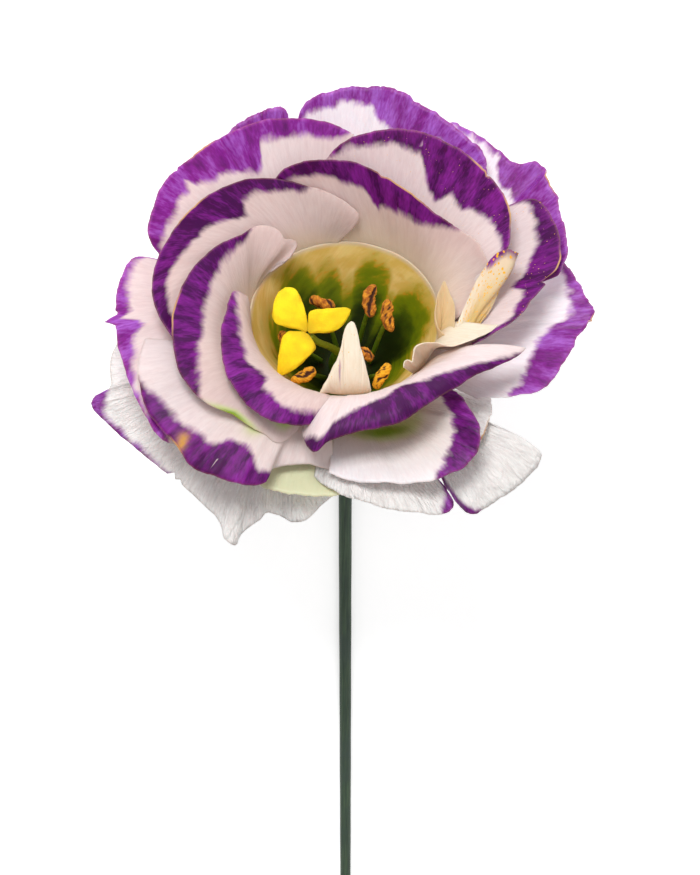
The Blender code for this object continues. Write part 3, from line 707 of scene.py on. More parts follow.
OUTER = {
    "outer_petal_1": dict(
        claw=[(104, 9.9, 6.5), (68, 9.9, 6.5)], flare=(45, 45), wash=0.66, ruffle=0.35, worn=0.3,
        edge=[(104, 31, 20), (100, 34, 22.8), (93, 34.7, 24.2), (79, 35.5, 24.6),
              (68, 34, 23.5), (51, 32, 22), (45, 30, 21)],
        band=[(0, 1), (0.1, 1.8), (0.2, 2.4), (0.32, 2.6), (0.4, 3.2), (0.45, 5.2), (0.52, 6.2),
              (0.6, 5.4), (0.68, 4.4), (0.75, 3.2), (0.86, 2.8), (1, 0.8)],
        folds=[(0.2, 0.015, 0.4, 0.7), (0.42, 0.02, -0.3, 0.5), (0.47, 0.02, 0.35, 0.5),
               (0.56, 0.02, -0.35, 0.5)],
        nicks=[(0.57, 0.02, 0.2)]),
    "outer_petal_2": dict(
        claw=[(132, 8.5, 4.5), (112, 8.5, 4.5)], flare=(45, 45), wash=0.6, ruffle=0.2,
        edge=[(125.5, 32.2, 21), (120.2, 33.6, 22), (115.6, 34, 22.5), (110.8, 34.2, 22.8),
              (106.4, 34.1, 22.8), (104.9, 33.1, 22)],
        band=[(0, 5), (1, 6)], folds=[(0.7, 0.03, 0.4, 0.7)]),
    "outer_petal_3": dict(
        claw=[(60, 8.5, 4.5), (14, 9.9, 6.5)], flare=(30, 40), wash=0.62, ruffle=0.4, worn=0.3,
        edge=[(66, 33, 18.5), (62, 35.5, 20.5), (45, 35, 20), (39, 37.5, 20.3), (27, 35, 21),
              (12, 33, 21), (6, 31, 20)],
        band=[(0, 0.8), (0.3, 1.0), (0.38, 4.5), (0.5, 7), (0.62, 6), (0.72, 3.5), (1, 3)],
        folds=[(0.44, 0.02, 0.5, 0.5), (0.5, 0.02, -0.7, 0.5), (0.56, 0.02, 0.7, 0.5),
               (0.63, 0.02, -0.6, 0.5), (0.7, 0.02, 0.4, 0.5)], tan=[(0.57, 0.05)]),
    "outer_petal_4": dict(
        claw=[(10, 8.5, 4.5), (-30, 9.9, 6.5)], flare=(10, 20), wash=0.56, ruffle=0.45, worn=0.3,
        edge=[(17, 33, 15.5), (4, 35, 17), (-2, 36, 16.5), (-8, 34, 16.5), (-25, 31, 15.5),
              (-36, 23.5, 13.5)],
        band=[(0, 1.2), (0.15, 1.6), (0.28, 3), (0.4, 5.2), (0.55, 5.6), (0.68, 4.4), (0.78, 3),
              (0.84, 1), (0.88, -1), (1, -2)],
        folds=[(0.3, 0.02, 0.6, 0.6), (0.42, 0.02, -0.5, 0.6), (0.36, 0.01, -0.5, 0.7)],
        tan=[(0.36, 0.03)]),
    # Its strong cream over the blade, deepest at the claw, is painted shade of its shaded upper part.
    "outer_petal_5": dict(
        claw=[(308, 9.7, 6.2), (266, 9.7, 6.2)], flare=(10, 0), rise=36, wash=0.3, ruffle=0.25,
        edge=[(308.8, 19.6, 17.5), (314.4, 22.3, 18.5), (313.7, 25.3, 18.3), (310.5, 29.6, 17.8),
              (304.8, 31.5, 17), (299.2, 32, 16.5), (293.1, 31.6, 16), (285.7, 30.3, 15.5),
              (274.5, 28.8, 15), (265.2, 27, 14.5)],
        band=[(0, 3.5), (0.09, 4), (0.18, 4.6), (0.29, 5), (0.39, 4.4), (0.48, 3), (0.56, 1),
              (0.6, -1.5), (1, -2)],
        folds=[(0.31, 0.03, 1.0, 0.3), (0.12, 0.015, 0.4, 0.5), (0.22, 0.015, -0.5, 0.5),
               (0.38, 0.015, -0.4, 0.5), (0.52, 0.03, 0.4, 0.4), (0.7, 0.03, -0.4, 0.4)],
        cream_and_shade=(1.6, 1.2), tint_strength=0.75, green=[(0.62, 0.48, 0.26, 0.1, 0.9)]),
    "outer_petal_6": dict(
        claw=[(262, 8.5, 4.5), (290, 8.5, 4.5)], flare=(-10, -10), rise=24, wash=0.4, ruffle=0.3,
        silver=True,
        edge=[(260.5, 26.4, 12), (268.8, 29.5, 13), (276.6, 31.3, 13), (286.8, 33.7, 12.5),
              (294.5, 34.7, 11.5), (297.3, 33.3, 11.5), (297, 29.5, 11)],
        band=[(0, -2), (0.68, -2), (0.75, 0.8), (0.8, 2.2), (0.87, 2.5), (0.93, 1.5), (1, 0.5)],
        folds=[(0.3, 0.05, 0.5, 0.2), (0.8, 0.02, 0.5, 0.6)], nicks=[(0.9, 0.03, 1.2)]),
    "outer_petal_7": dict(
        claw=[(300, 7.0, 2.7), (312, 7.0, 2.7)], flare=(-40, -40), rise=12, wash=0.4, ruffle=0.3,
        silver=True,
        edge=[(297.5, 30.5, 10.8), (298.4, 33.4, 10.4), (300.3, 35.7, 9.8), (306, 35.7, 9.8),
              (311.7, 35.9, 10), (318.8, 36, 10.5), (323, 34.8, 11), (321.2, 31, 11.2)],
        band=[(0, 2), (0.12, 2.4), (0.2, 2.0), (0.28, 0.5), (0.34, -1.5), (1, -2)], sides=(2.2, -2),
        folds=[(0.5, 0.06, 0.5, 0.3), (0.7, 0.04, -0.4, 0.3)]),
    "outer_petal_8": dict(
        claw=[(316, 8.5, 4.5), (325, 8.5, 4.5)], flare=(20, 20), rise=50, wash=0.5, ruffle=0.4,
        silver=True,
        edge=[(306, 28.5, 14), (310, 29, 14.5), (322, 26.5, 13.5), (329, 24.5, 12)],
        tan=[(0.25, 0.3)]),
    "outer_petal_9": dict(
        claw=[(196, 7.2, 3.0), (242, 7.2, 3.0)], flare=(0, -50), rise=32, wash=0.6, ruffle=0.45,
        silver=True,
        edge=[(184.6, 33.4, 12), (190.2, 34.6, 12), (196.7, 35.2, 12), (197.6, 36.4, 11.5),
              (198, 38, 11), (200, 38.8, 10.5), (203, 37.8, 9.5), (211, 35.5, 8),
              (226, 33.4, 6.6), (238, 34.2, 5.6), (244.5, 36.6, 5.0), (246, 33.4, 5.6),
              (248.5, 30.4, 6.0), (256, 30.8, 6.0), (260.5, 29.2, 6.2), (264, 27.4, 7.0),
              (268, 25.8, 8.0)],
        band=[(0, -2), (0.12, -2), (0.15, 0.8), (0.18, 2.2), (0.21, 1.8), (0.25, 0.9), (0.35, 0.6),
              (0.44, 0.3), (0.48, -2), (1, -2)],
        folds=[(0.56, 0.03, 0.6, 0.3), (0.66, 0.02, 0.8, 0.4), (0.72, 0.02, -0.8, 0.3),
               (0.78, 0.02, 1.0, 0.3), (0.84, 0.02, -0.9, 0.3), (0.9, 0.02, 0.8, 0.4)],
        nicks=[(0.455, 0.006, 0.8), (0.475, 0.006, 0.6)]),
    "outer_petal_10": dict(
        claw=[(248, 9.2, 5.5), (262, 9.2, 5.5)], flare=(0, 0), rise=42, wash=0.5, ruffle=0.1,
        edge=[(244.7, 29, 12), (248, 30, 12), (256.9, 29.7, 12), (268.8, 28.9, 12), (270, 25.7, 11.5)],
        tinge=0.3),
}


def drawn_noise(tree, grain, stretch, **settings):
    """Noise stretched over the grain by its own scale in each direction."""
    places = put(tree, "VectorMath", {0: grain, 1: stretch}, operation="MULTIPLY")
    return put(tree, "TexNoise", dict(settings, Vector=places.outputs[0])).outputs[0]


# Violet margin, used on every petal: how much violet there is, and its colour.
violet_margin, inner, outer = new_group(
    "violet_margin",
    [("Grain", "vector"), ("Inside band", "value"), ("Fringe", "value"), ("Wash", "value")],
    [("Mask", "value"), ("Paint", "colour")])
grain_in, wash_in = inner.outputs["Grain"], inner.outputs["Wash"]
broad = drawn_noise(violet_margin, grain_in, (0.42, 0.3, 1.0), Scale=1.0, Detail=3.0)
combed = drawn_noise(violet_margin, grain_in, (2.7, 0.8, 1.0), Scale=1.0, Detail=4.0)
clouds = drawn_noise(violet_margin, grain_in, (1.0, 0.4, 1.0), Scale=0.5, Detail=3.0)
ragged = math_of(violet_margin, "ADD", spread(violet_margin, broad, 0.3, 0.7, -0.5, 0.5),
                 spread(violet_margin, combed, 0.3, 0.7, -0.15, 0.15))
ragged = math_of(violet_margin, "MULTIPLY_ADD", ragged, inner.outputs["Fringe"],
                 inner.outputs["Inside band"])
violet_margin.links.new(spread(violet_margin, ragged, -0.6, 0.85), outer.inputs["Mask"])
paling = math_of(violet_margin, "ADD", wash_in, spread(violet_margin, clouds, 0.3, 0.7, -0.22, 0.22))
paling = math_of(violet_margin, "ADD", paling, spread(violet_margin, combed, 0.3, 0.7, -0.13, 0.13),
                 clamp=True)
paint = blend_of(violet_margin, spread(violet_margin, paling, 0.0, 0.5, smooth=False), srgb(66, 0, 72),
                 srgb(128, 28, 138))
paint = blend_of(violet_margin, spread(violet_margin, paling, 0.5, 1.0, smooth=False), paint,
                 srgb(166, 98, 200))
violet_margin.links.new(paint, outer.inputs["Paint"])

# Pollen dust, used on the petals near the anthers: scattered orange grains.
pollen_dust, inner, outer = new_group("pollen_dust", [("Grain", "vector"), ("Amount", "value")],
                                      [("Mask", "value")])
cells = put(pollen_dust, "TexVoronoi", {"Vector": inner.outputs["Grain"], "Scale": 1.8})
tone = put(pollen_dust, "SeparateColor", {"Color": cells.outputs["Color"]}).outputs[0]
size = math_of(pollen_dust, "MULTIPLY", math_of(pollen_dust, "MULTIPLY", inner.outputs["Amount"], tone),
               0.35)
pollen_dust.links.new(math_of(pollen_dust, "LESS_THAN", cells.outputs["Distance"], size),
                      outer.inputs["Mask"])


def petal_skin(name, white, shade, threads, crepe, crinkle, height, fringe, **fixed):
    """Petal tissue: white shaded along its veins, then violet, dried edges and pollen over it.

    threads is veins in a millimetre, and crepe, crinkle and height shape its fine relief."""
    mat, tree, shader = new_material(name, Subsurface_Radius=(1.0, 0.6, 0.55),
                                     Subsurface_Scale=0.0009, **fixed)
    coords = carried(tree, "grain", "Vector")
    read = {key: carried(tree, key) for key in ("inside_band", "from_rim", "wash", "dried", "dust",
                                                "cream_and_shade", "green", "scorch")}
    veins = use_group(tree, fibre_grain, {"Grain": coords, "Threads per mm": threads, "Length": 5.0})
    colour = blend_of(tree, math_of(tree, "MULTIPLY", veins.outputs["Streak"], 0.4), white, shade)
    # Cream near the claw is the tissue's own tint. Where a petal has it strong, it is painted shade, and
    # above 0.6 it turns to a deep tan.
    colour = blend_of(tree, spread(tree, read["cream_and_shade"], 0.0, 0.9), colour, srgb(226, 200, 168))
    colour = blend_of(tree, spread(tree, read["cream_and_shade"], 0.6, 1.0), colour, srgb(206, 174, 112))
    colour = blend_of(tree, spread(tree, read["green"], 0.0, 0.45), colour, srgb(194, 200, 144))
    colour = blend_of(tree, spread(tree, read["green"], 0.35, 0.9), colour, srgb(120, 156, 30))
    margin = use_group(tree, violet_margin, {"Grain": coords, "Inside band": read["inside_band"],
                                             "Fringe": fringe, "Wash": read["wash"]})
    colour = blend_of(tree, margin.outputs["Mask"], colour, margin.outputs["Paint"])
    near_rim = math_of(tree, "MULTIPLY", spread(tree, read["from_rim"], 0.32, 0.06), read["dried"])
    colour = blend_of(tree, near_rim, colour, srgb(196, 150, 104))
    colour = blend_of(tree, read["scorch"], colour, srgb(190, 140, 66))
    dust = use_group(tree, pollen_dust, {"Grain": coords, "Amount": read["dust"]})
    colour = blend_of(tree, dust.outputs["Mask"], colour, srgb(240, 176, 40))
    wrinkle = drawn_noise(tree, coords, (1.4, 0.5, 1.0), Scale=crinkle, Detail=4.0, Distortion=0.6)
    relief = math_of(tree, "MULTIPLY_ADD", wrinkle, crepe, veins.outputs["Height"])
    finish_skin(tree, shader, colour, relief, 0.6, height)
    return mat


outer_skin = petal_skin("outer_petal_skin", srgb(240, 231, 235), srgb(222, 207, 214), threads=2.2,
                        crepe=1.2, crinkle=0.9, height=0.15, fringe=0.9, Roughness=0.38,
                        Specular_IOR_Level=0.32, Subsurface_Weight=0.3)
silver_skin = petal_skin("silvered_petal_skin", srgb(240, 236, 233), srgb(200, 190, 187), threads=2.0,
                         crepe=3.2, crinkle=1.2, height=0.5, fringe=0.7, Roughness=0.34,
                         Specular_IOR_Level=0.45, Subsurface_Weight=0.12)


def tent(s, middle, half_width):
    """1 at the middle and falling evenly to 0 at a half width from it."""
    return np.clip(1 - np.abs(s - middle) / half_width, 0, 1)


def petal_surface(petal, rise, seed, s, t):
    """The blade's own surface, notched, ruffled and folded, and each strip's length."""
    strips = blade(petal, rise, s, np.broadcast_to(np.linspace(0, 1, 9), (len(s), 9)))
    length = np.linalg.norm(np.diff(strips, axis=1), axis=2).sum(1)
    reach = petal.get("worn", 0.16) * waves(s, seed, 5, 5, 0.8) - 0.05
    for place, half_width, deep in petal.get("nicks", ()):
        reach = reach - deep * tent(s, place, half_width)
    grid = blade(petal, rise, s, t[None, :] * (1 + reach / length)[:, None])
    normals, side = facing(grid)
    ramp = np.clip((t - RUFFLE_FROM) / (1 - RUFFLE_FROM), 0, 1) ** 2
    lift = petal.get("ruffle", 0.25) * ramp * waves(s, seed + 1, 2.2, 4, 0.62)[:, None]
    lift = lift + 0.12 * waves(s, seed + 2, 4, 3)[:, None] * np.sin(math.pi * t)
    for place, half_width, high, start in petal.get("folds", ()):
        lift = lift + (high * np.exp(-((s - place) / half_width) ** 2)[:, None]
                       * np.clip((t - start) / (1 - start), 0, 1) ** 1.3)
    return grid + (side * lift)[..., None] * normals, length


def violet_depth(petal, s, t, from_edge, wide):
    """How far each point is inside the violet, in millimetres, below 0 outside it."""
    places, widths = zip(*petal.get("band", [(0, NO_VIOLET), (1, NO_VIOLET)]))
    inside = np.interp(s, places, widths)[:, None] - from_edge
    for depth, off in zip(petal.get("sides", (NO_VIOLET, NO_VIOLET)), (wide, wide[-1] - wide)):
        inside = np.maximum(inside, depth * (t > 0.2) - off[:, None] - 3 * (1 - t))
    for place, half_width, deep in petal.get("tears", ()):
        tear = tent(s, place, half_width)[:, None] * (from_edge < deep)
        inside = inside * (1 - tear) - 3 * tear
    if "violet_streak" in petal:
        place, middle = petal["violet_streak"]
        inside = np.maximum(inside, 0.12 - 22 * np.abs(s - place)[:, None]
                            - 3 * np.clip(np.abs(t - middle) - 0.2, 0, 1))
    return inside


def make_petal(node, petal, rise, mat, slot, seed, across=88, along=46, thickness=PETAL_THICK):
    """One petal: its blade as a thin closed sheet, carrying what its skin is coloured by."""
    s, t = np.linspace(0, 1, across + 1), np.linspace(0, 1, along + 1)
    grid, length = petal_surface(petal, petal.get("rise", rise), seed, s, t)
    shape = grid.shape[:2]
    steps = np.linalg.norm(np.diff(grid, axis=1), axis=2)
    from_edge = np.concatenate((np.cumsum(steps[:, ::-1], axis=1)[:, ::-1], np.zeros((shape[0], 1))), 1)
    wide = np.concatenate(([0], np.cumsum(np.linalg.norm(np.diff(grid[:, -1], axis=0), axis=1))))
    rim = np.minimum(from_edge, np.minimum(wide, wide[-1] - wide)[:, None] * (0.3 + 0.7 * t))
    dried = sum((np.clip(1.3 - np.abs(s - at) / half_width, 0, 1)
                 for at, half_width in petal.get("tan", ())), 0.12)
    scorch = sum((np.exp(-((wide - at * wide[-1]) / size)[:, None] ** 2 - ((from_edge - deep) / size) ** 2)
                  for at, deep, size in petal.get("scorch", ())), 0)
    green = sum((deep * np.exp(-((s - at) / size)[:, None] ** 2 - ((t - up) / high) ** 2)
                 for at, up, size, high, deep in petal.get("green", ())), petal.get("tinge", 0.0))
    cream_and_shade_from, cream_and_shade_to = petal.get("cream_and_shade", (0.45, 0.45))
    cream_and_shade_reach = (cream_and_shade_from + (cream_and_shade_to - cream_and_shade_from) * s)[:, None]
    fields = {
        "inside_band": violet_depth(petal, s, t, from_edge, wide), "from_rim": rim,
        "wash": petal["wash"], "dried": dried if np.ndim(dried) == 0 else dried[:, None],
        "dust": petal.get("dust", 0.0), "green": green, "scorch": scorch,
        "cream_and_shade": petal.get("tint_strength", 0.55) * np.clip(1.0 - t / cream_and_shade_reach, 0, 1)}
    fields = {key: np.tile(np.broadcast_to(v, shape).ravel(), 2) for key, v in fields.items()}
    grain = np.stack((np.broadcast_to(wide[:, None], shape), length[:, None] - from_edge,
                      np.full(shape, 3.7 * seed)), -1).reshape(-1, 3)
    thinned = np.clip(RIM_SHARE + rim / RIM_WIDTH, 0, 1) * np.clip(CLAW_SHARE + 8 * t, 0, 1)
    points, faces = shell(grid, thickness * thinned)
    piece_name = node.replace("petal_", "blade_").replace("petaloid_", "petaloid_blade_")
    make_piece(piece_name, points, faces, dict(fields, grain=np.vstack((grain, grain))), mat, slot, node)


for k, (node, petal) in enumerate(OUTER.items()):
    mat = silver_skin if petal.get("silver") else outer_skin
    make_petal(node, petal, OUTER_RISE, mat, "outer_petals", 100 + 5 * k)

# ---- middle petals ---------------------------------------------------------------------
# Six broad petals grow from the bell above the outer ones and overlap like roof tiles.  They
# are fresh: white to cream blades with a deep violet edge, which steps in width at the veins.
MIDDLE_RISE = 60
MIDDLE = {
    "middle_petal_1": dict(
        claw=[(0, 13.4, 12.4), (88, 13.1, 11.3)], flare=(40, 55), wash=0.22, ruffle=0.3, cream_and_shade=(1.0, 0.45),
        edge=[(8, 19.5, 17.5), (11, 23.4, 22.5), (28, 26.5, 25.5), (57, 27, 27), (74, 25.5, 27.5),
              (90, 23, 26.5), (97, 22, 24)],
        band=[(0, -1), (0.1, 0), (0.16, 1.2), (0.25, 2.6), (0.33, 4.2), (0.4, 5.2), (0.43, 6.4), (0.5, 6.6),
              (0.55, 8.8), (0.59, 7.6), (0.63, 5.6), (0.66, 3.2), (0.72, 2.8), (0.83, 2), (0.95, 1),
              (1, 0.2)],
        folds=[(0.44, 0.015, -0.4, 0.6)], nicks=[(0.43, 0.012, 0.5)], tan=[(0.46, 0.04), (0.3, 0.05)],
        tears=[(0.655, 0.006, 1.9)], dust=0.3),
    "middle_petal_2": dict(
        claw=[(148, 12.6, 10.5), (104, 12.1, 9.3)], flare=(25, 45), wash=0.5, ruffle=0.35,
        edge=[(165, 28, 20), (162, 30, 22.5), (148, 31.5, 24), (136, 31, 25), (115, 30, 26),
              (98, 28.5, 25), (87, 26.5, 24)],
        band=[(0, 0.6), (0.08, 2.2), (0.2, 3.4), (0.3, 3.8), (0.33, 2.4), (0.36, 4.2), (0.48, 5.2),
              (0.58, 7), (0.62, 6.5), (0.65, 3), (0.8, 2.8), (0.92, 2.4), (0.96, 0.6), (1, -0.5)],
        folds=[(0.52, 0.02, -0.8, 0.55), (0.56, 0.02, 0.5, 0.6)], nicks=[(0.34, 0.012, 0.25)],
        tears=[(0.335, 0.006, 2.2), (0.36, 0.004, 1.5)],
        tan=[(0.45, 0.05)]),
    "middle_petal_3": dict(
        claw=[(162, 12.1, 9.3), (200, 12.1, 9.3)], flare=(20, -10), wash=0.6, ruffle=0.35,
        edge=[(165, 27, 18.5), (168, 31.5, 20), (184, 33, 20), (203, 33.5, 18.5),
              (219, 34, 16), (222, 32, 13)],
        band=[(0, 0.8), (0.2, 1.0), (0.34, 1.8), (0.42, 2.4), (0.47, 4.6), (0.5, 2.8), (0.6, 1.8),
              (0.7, 0.6), (0.8, 0.9), (0.88, 2.0), (0.94, 0.4), (1, -2)],
        folds=[(0.47, 0.015, 0.4, 0.6)], nicks=[(0.42, 0.02, -1.6), (0.39, 0.015, 0.5)]),
    "middle_petal_4": dict(
        claw=[(208, 12.6, 10.5), (262, 12.6, 10.5)], flare=(0, -40), rise=55, wash=0.2, ruffle=0.3,
        edge=[(193.7, 29.3, 19), (205.8, 32.4, 19.5), (215.6, 33.6, 18), (224.3, 33.5, 17),
              (232, 34.3, 16), (237.8, 33.4, 15.5), (244.2, 32.4, 15), (248.7, 30.8, 14.7),
              (249.8, 27.4, 14), (258.2, 25.4, 13.5), (266.7, 25.8, 13)],
        band=[(0, -2), (0.12, -1), (0.18, 0.8), (0.25, 2.2), (0.34, 2.8), (0.42, 3.4), (0.48, 4.2),
              (0.54, 5.8), (0.62, 6.2), (0.66, 4.6), (0.7, 2.6), (0.76, 1.6), (0.8, -1), (1, -2)],
        folds=[(0.45, 0.012, 0.5, 0.5), (0.52, 0.015, -0.5, 0.5), (0.57, 0.01, 0.3, 0.5),
               (0.66, 0.015, 0.5, 0.4)],
        tan=[(0.42, 0.03)], cream_and_shade=(0.5, 1.4), scorch=[(0.41, 1.5, 0.8), (0.425, 0.6, 0.7)],
        tears=[(0.555, 0.004, 3.0)],
        green=[(0.6, 0.52, 0.05, 0.12, 0.8), (0.85, 0.3, 0.12, 0.08, 0.9)]),
    "middle_petal_5": dict(
        claw=[(262, 13.8, 13.9), (325, 14.3, 13.9)], flare=(-50, -30), rise=70, wash=0.04, ruffle=0.2,
        edge=[(254.5, 22.4, 17), (258.7, 26.1, 19), (261.7, 26.9, 19.5), (265.9, 25.2, 20.3),
              (275, 24.3, 21), (286.3, 24.6, 21.8), (293.9, 24, 22), (301.8, 23.3, 22),
              (310.2, 23.4, 22), (319.3, 23.8, 21.7), (327.8, 25.2, 21.2), (334.9, 26.8, 20.6),
              (340.3, 27.5, 19.8)],
        band=[(0, -2), (0.05, 0), (0.09, 1.6), (0.16, 2.6), (0.26, 3.8), (0.38, 5.0), (0.48, 6.0),
              (0.55, 5.8), (0.6, 4.0), (0.68, 3.2), (0.78, 2.4), (0.88, 1.5), (0.95, 0.6), (1, -1)],
        folds=[(0.58, 0.02, 0.5, 0.5), (0.49, 0.02, -0.3, 0.6)], cream_and_shade=(0.35, 0.7)),
    "middle_petal_6": dict(
        claw=[(38, 11.4, 8.5), (-14, 12.6, 10.5)], flare=(30, 50), rise=54, wash=0.2, ruffle=0.35,
        edge=[(33, 28, 21), (27, 32, 23), (9, 31.5, 23), (-1, 28, 22), (-10, 25.5, 21),
              (-20, 21.5, 20), (-28, 18.5, 18)],
        band=[(0, 0.3), (0.1, 1.2), (0.2, 2.4), (0.3, 3.4), (0.4, 5.5), (0.48, 6.5), (0.54, 4.5),
              (0.6, 3), (0.7, 1.8), (0.85, 1.6), (0.95, 0.8), (1, 0)],
        nicks=[(0.52, 0.035, 1.6)], tan=[(0.45, 0.05)], dust=0.45),
}
# Its white and vein tone are darker and pinker than the outer skin's, partly painted shade of the cup.
middle_skin = petal_skin("middle_petal_skin", srgb(225, 207, 206), srgb(204, 180, 181), threads=2.0,
                         crepe=0.7, crinkle=0.8, height=0.1, fringe=0.75, Roughness=0.5,
                         Specular_IOR_Level=0.18, Subsurface_Weight=0.35)
for k, (node, petal) in enumerate(MIDDLE.items()):
    make_petal(node, petal, MIDDLE_RISE, middle_skin, "middle_petals", 200 + 5 * k)

# ---- inner petals ----------------------------------------------------------------------
# Four petals stand at the bell's mouth and spiral inside each other round the throat.  They
# are the youngest, so their violet is the deepest and their edges are the least worn.
INNER_RISE = 72
INNER = {
    "inner_petal_1": dict(
        claw=[(206, 13.8, 13.9), (264, 13.9, 13.9)], flare=(20, -35), wash=0.22, ruffle=0.3,
        edge=[(176, 14.3, 18), (180, 15.8, 21.0), (196, 17.6, 22.6), (212, 20.6, 22.6), (228, 23.4, 22.0),
              (243, 24.6, 21.0), (253, 23.6, 20.0), (262, 20.5, 18.0)],
        band=[(0, -0.6), (0.12, 0.9), (0.25, 2.4), (0.4, 3.4), (0.5, 4.0), (0.55, 5.6), (0.6, 5.4),
              (0.64, 3.8), (0.8, 3.0), (0.92, 2), (1, 0.4)],
        folds=[(0.575, 0.03, 0.8, 0.45), (0.63, 0.03, -0.5, 0.5)]),
    "inner_petal_2": dict(
        claw=[(152, 13.8, 13.9), (252, 15.3, 14.1)], flare=(50, -20), wash=0.12, ruffle=0.3,
        edge=[(139.9, 13.3, 16), (129.4, 12.3, 17), (122.8, 12.9, 18), (127.4, 13.6, 19),
              (130.4, 13.7, 19.3), (129.7, 14.5, 20), (132.8, 16.1, 20.8), (140.3, 17.5, 21.3),
              (150.2, 18.1, 22), (175, 22, 23.5), (207, 27, 23), (222, 27.5, 21),
              (232.5, 25.6, 19), (242.8, 24.9, 17.3), (248.5, 25, 16.4), (252.2, 21.5, 15.8)],
        band=[(0, -2), (0.16, -2), (0.19, -0.2), (0.24, 1.2), (0.31, 2.4), (0.39, 3.6), (0.47, 4.4),
              (0.56, 4.6), (0.62, 3.6), (0.67, 2.6), (0.72, 1.0), (0.76, -1), (1, -2)],
        folds=[(0.6, 0.015, 0.5, 0.5), (0.66, 0.015, -0.4, 0.6)], tan=[(0.52, 0.05)],
        cream_and_shade=(0.5, 1.2),
        green=[(0.82, 1.0, 0.05, 0.06, 0.9), (0.93, 0.62, 0.06, 0.16, 1.0)]),
    "inner_petal_3": dict(
        claw=[(95, 13.8, 13.9), (156, 14.1, 13.9)], flare=(60, 10), wash=0.1, ruffle=0.3,
        edge=[(84, 14.4, 17.5), (83, 15.2, 20), (106, 18.5, 22.5), (132, 23.5, 24),
              (161, 26, 24.5), (186, 27.5, 23.5), (202, 25.5, 21)],
        band=[(0, -2), (0.14, -1.2), (0.22, 1.0), (0.3, 2.2), (0.4, 3.0), (0.44, 3.4), (0.48, 6.4),
              (0.53, 6.4), (0.57, 5), (0.66, 4.4), (0.76, 3.8), (0.88, 2.6), (1, 2)],
        folds=[(0.47, 0.025, -0.4, 0.6)], tan=[(0.56, 0.06)]),
    "inner_petal_4": dict(
        claw=[(-8, 13.8, 13.9), (100, 14.1, 13.9)], flare=(60, 60), wash=0.15, ruffle=0.3,
        cream_and_shade=(1.3, 0.45),
        edge=[(-4, 16.6, 16.2), (4, 19.3, 18.6), (11, 21.1, 21), (20, 20.6, 22.6), (30, 19.1, 23),
              (44, 17.5, 24), (67, 18, 25.5),
              (94, 20, 26), (113, 21.5, 24.5), (119, 21.5, 22.5)],
        band=[(0, -2), (0.26, -2), (0.34, 0.3), (0.41, 2), (0.475, 3.6), (0.555, 4.6), (0.633, 4.8),
              (0.67, 6.8), (0.71, 4.4), (0.83, 3.2), (0.95, 2), (1, 0.6)],
        nicks=[(0.633, 0.012, 0.5)], tan=[(0.55, 0.1)]),
}
# Its white and vein tone are darker and pinker again: painted shade of the inside of the cup.
inner_skin = petal_skin("inner_petal_skin", srgb(214, 191, 187), srgb(194, 164, 161), threads=1.8,
                        crepe=0.5, crinkle=0.8, height=0.08, fringe=0.7, Roughness=0.52,
                        Specular_IOR_Level=0.15, Subsurface_Weight=0.35)
for k, (node, petal) in enumerate(INNER.items()):
    make_petal(node, petal, INNER_RISE, inner_skin, "inner_petals", 300 + 5 * k)

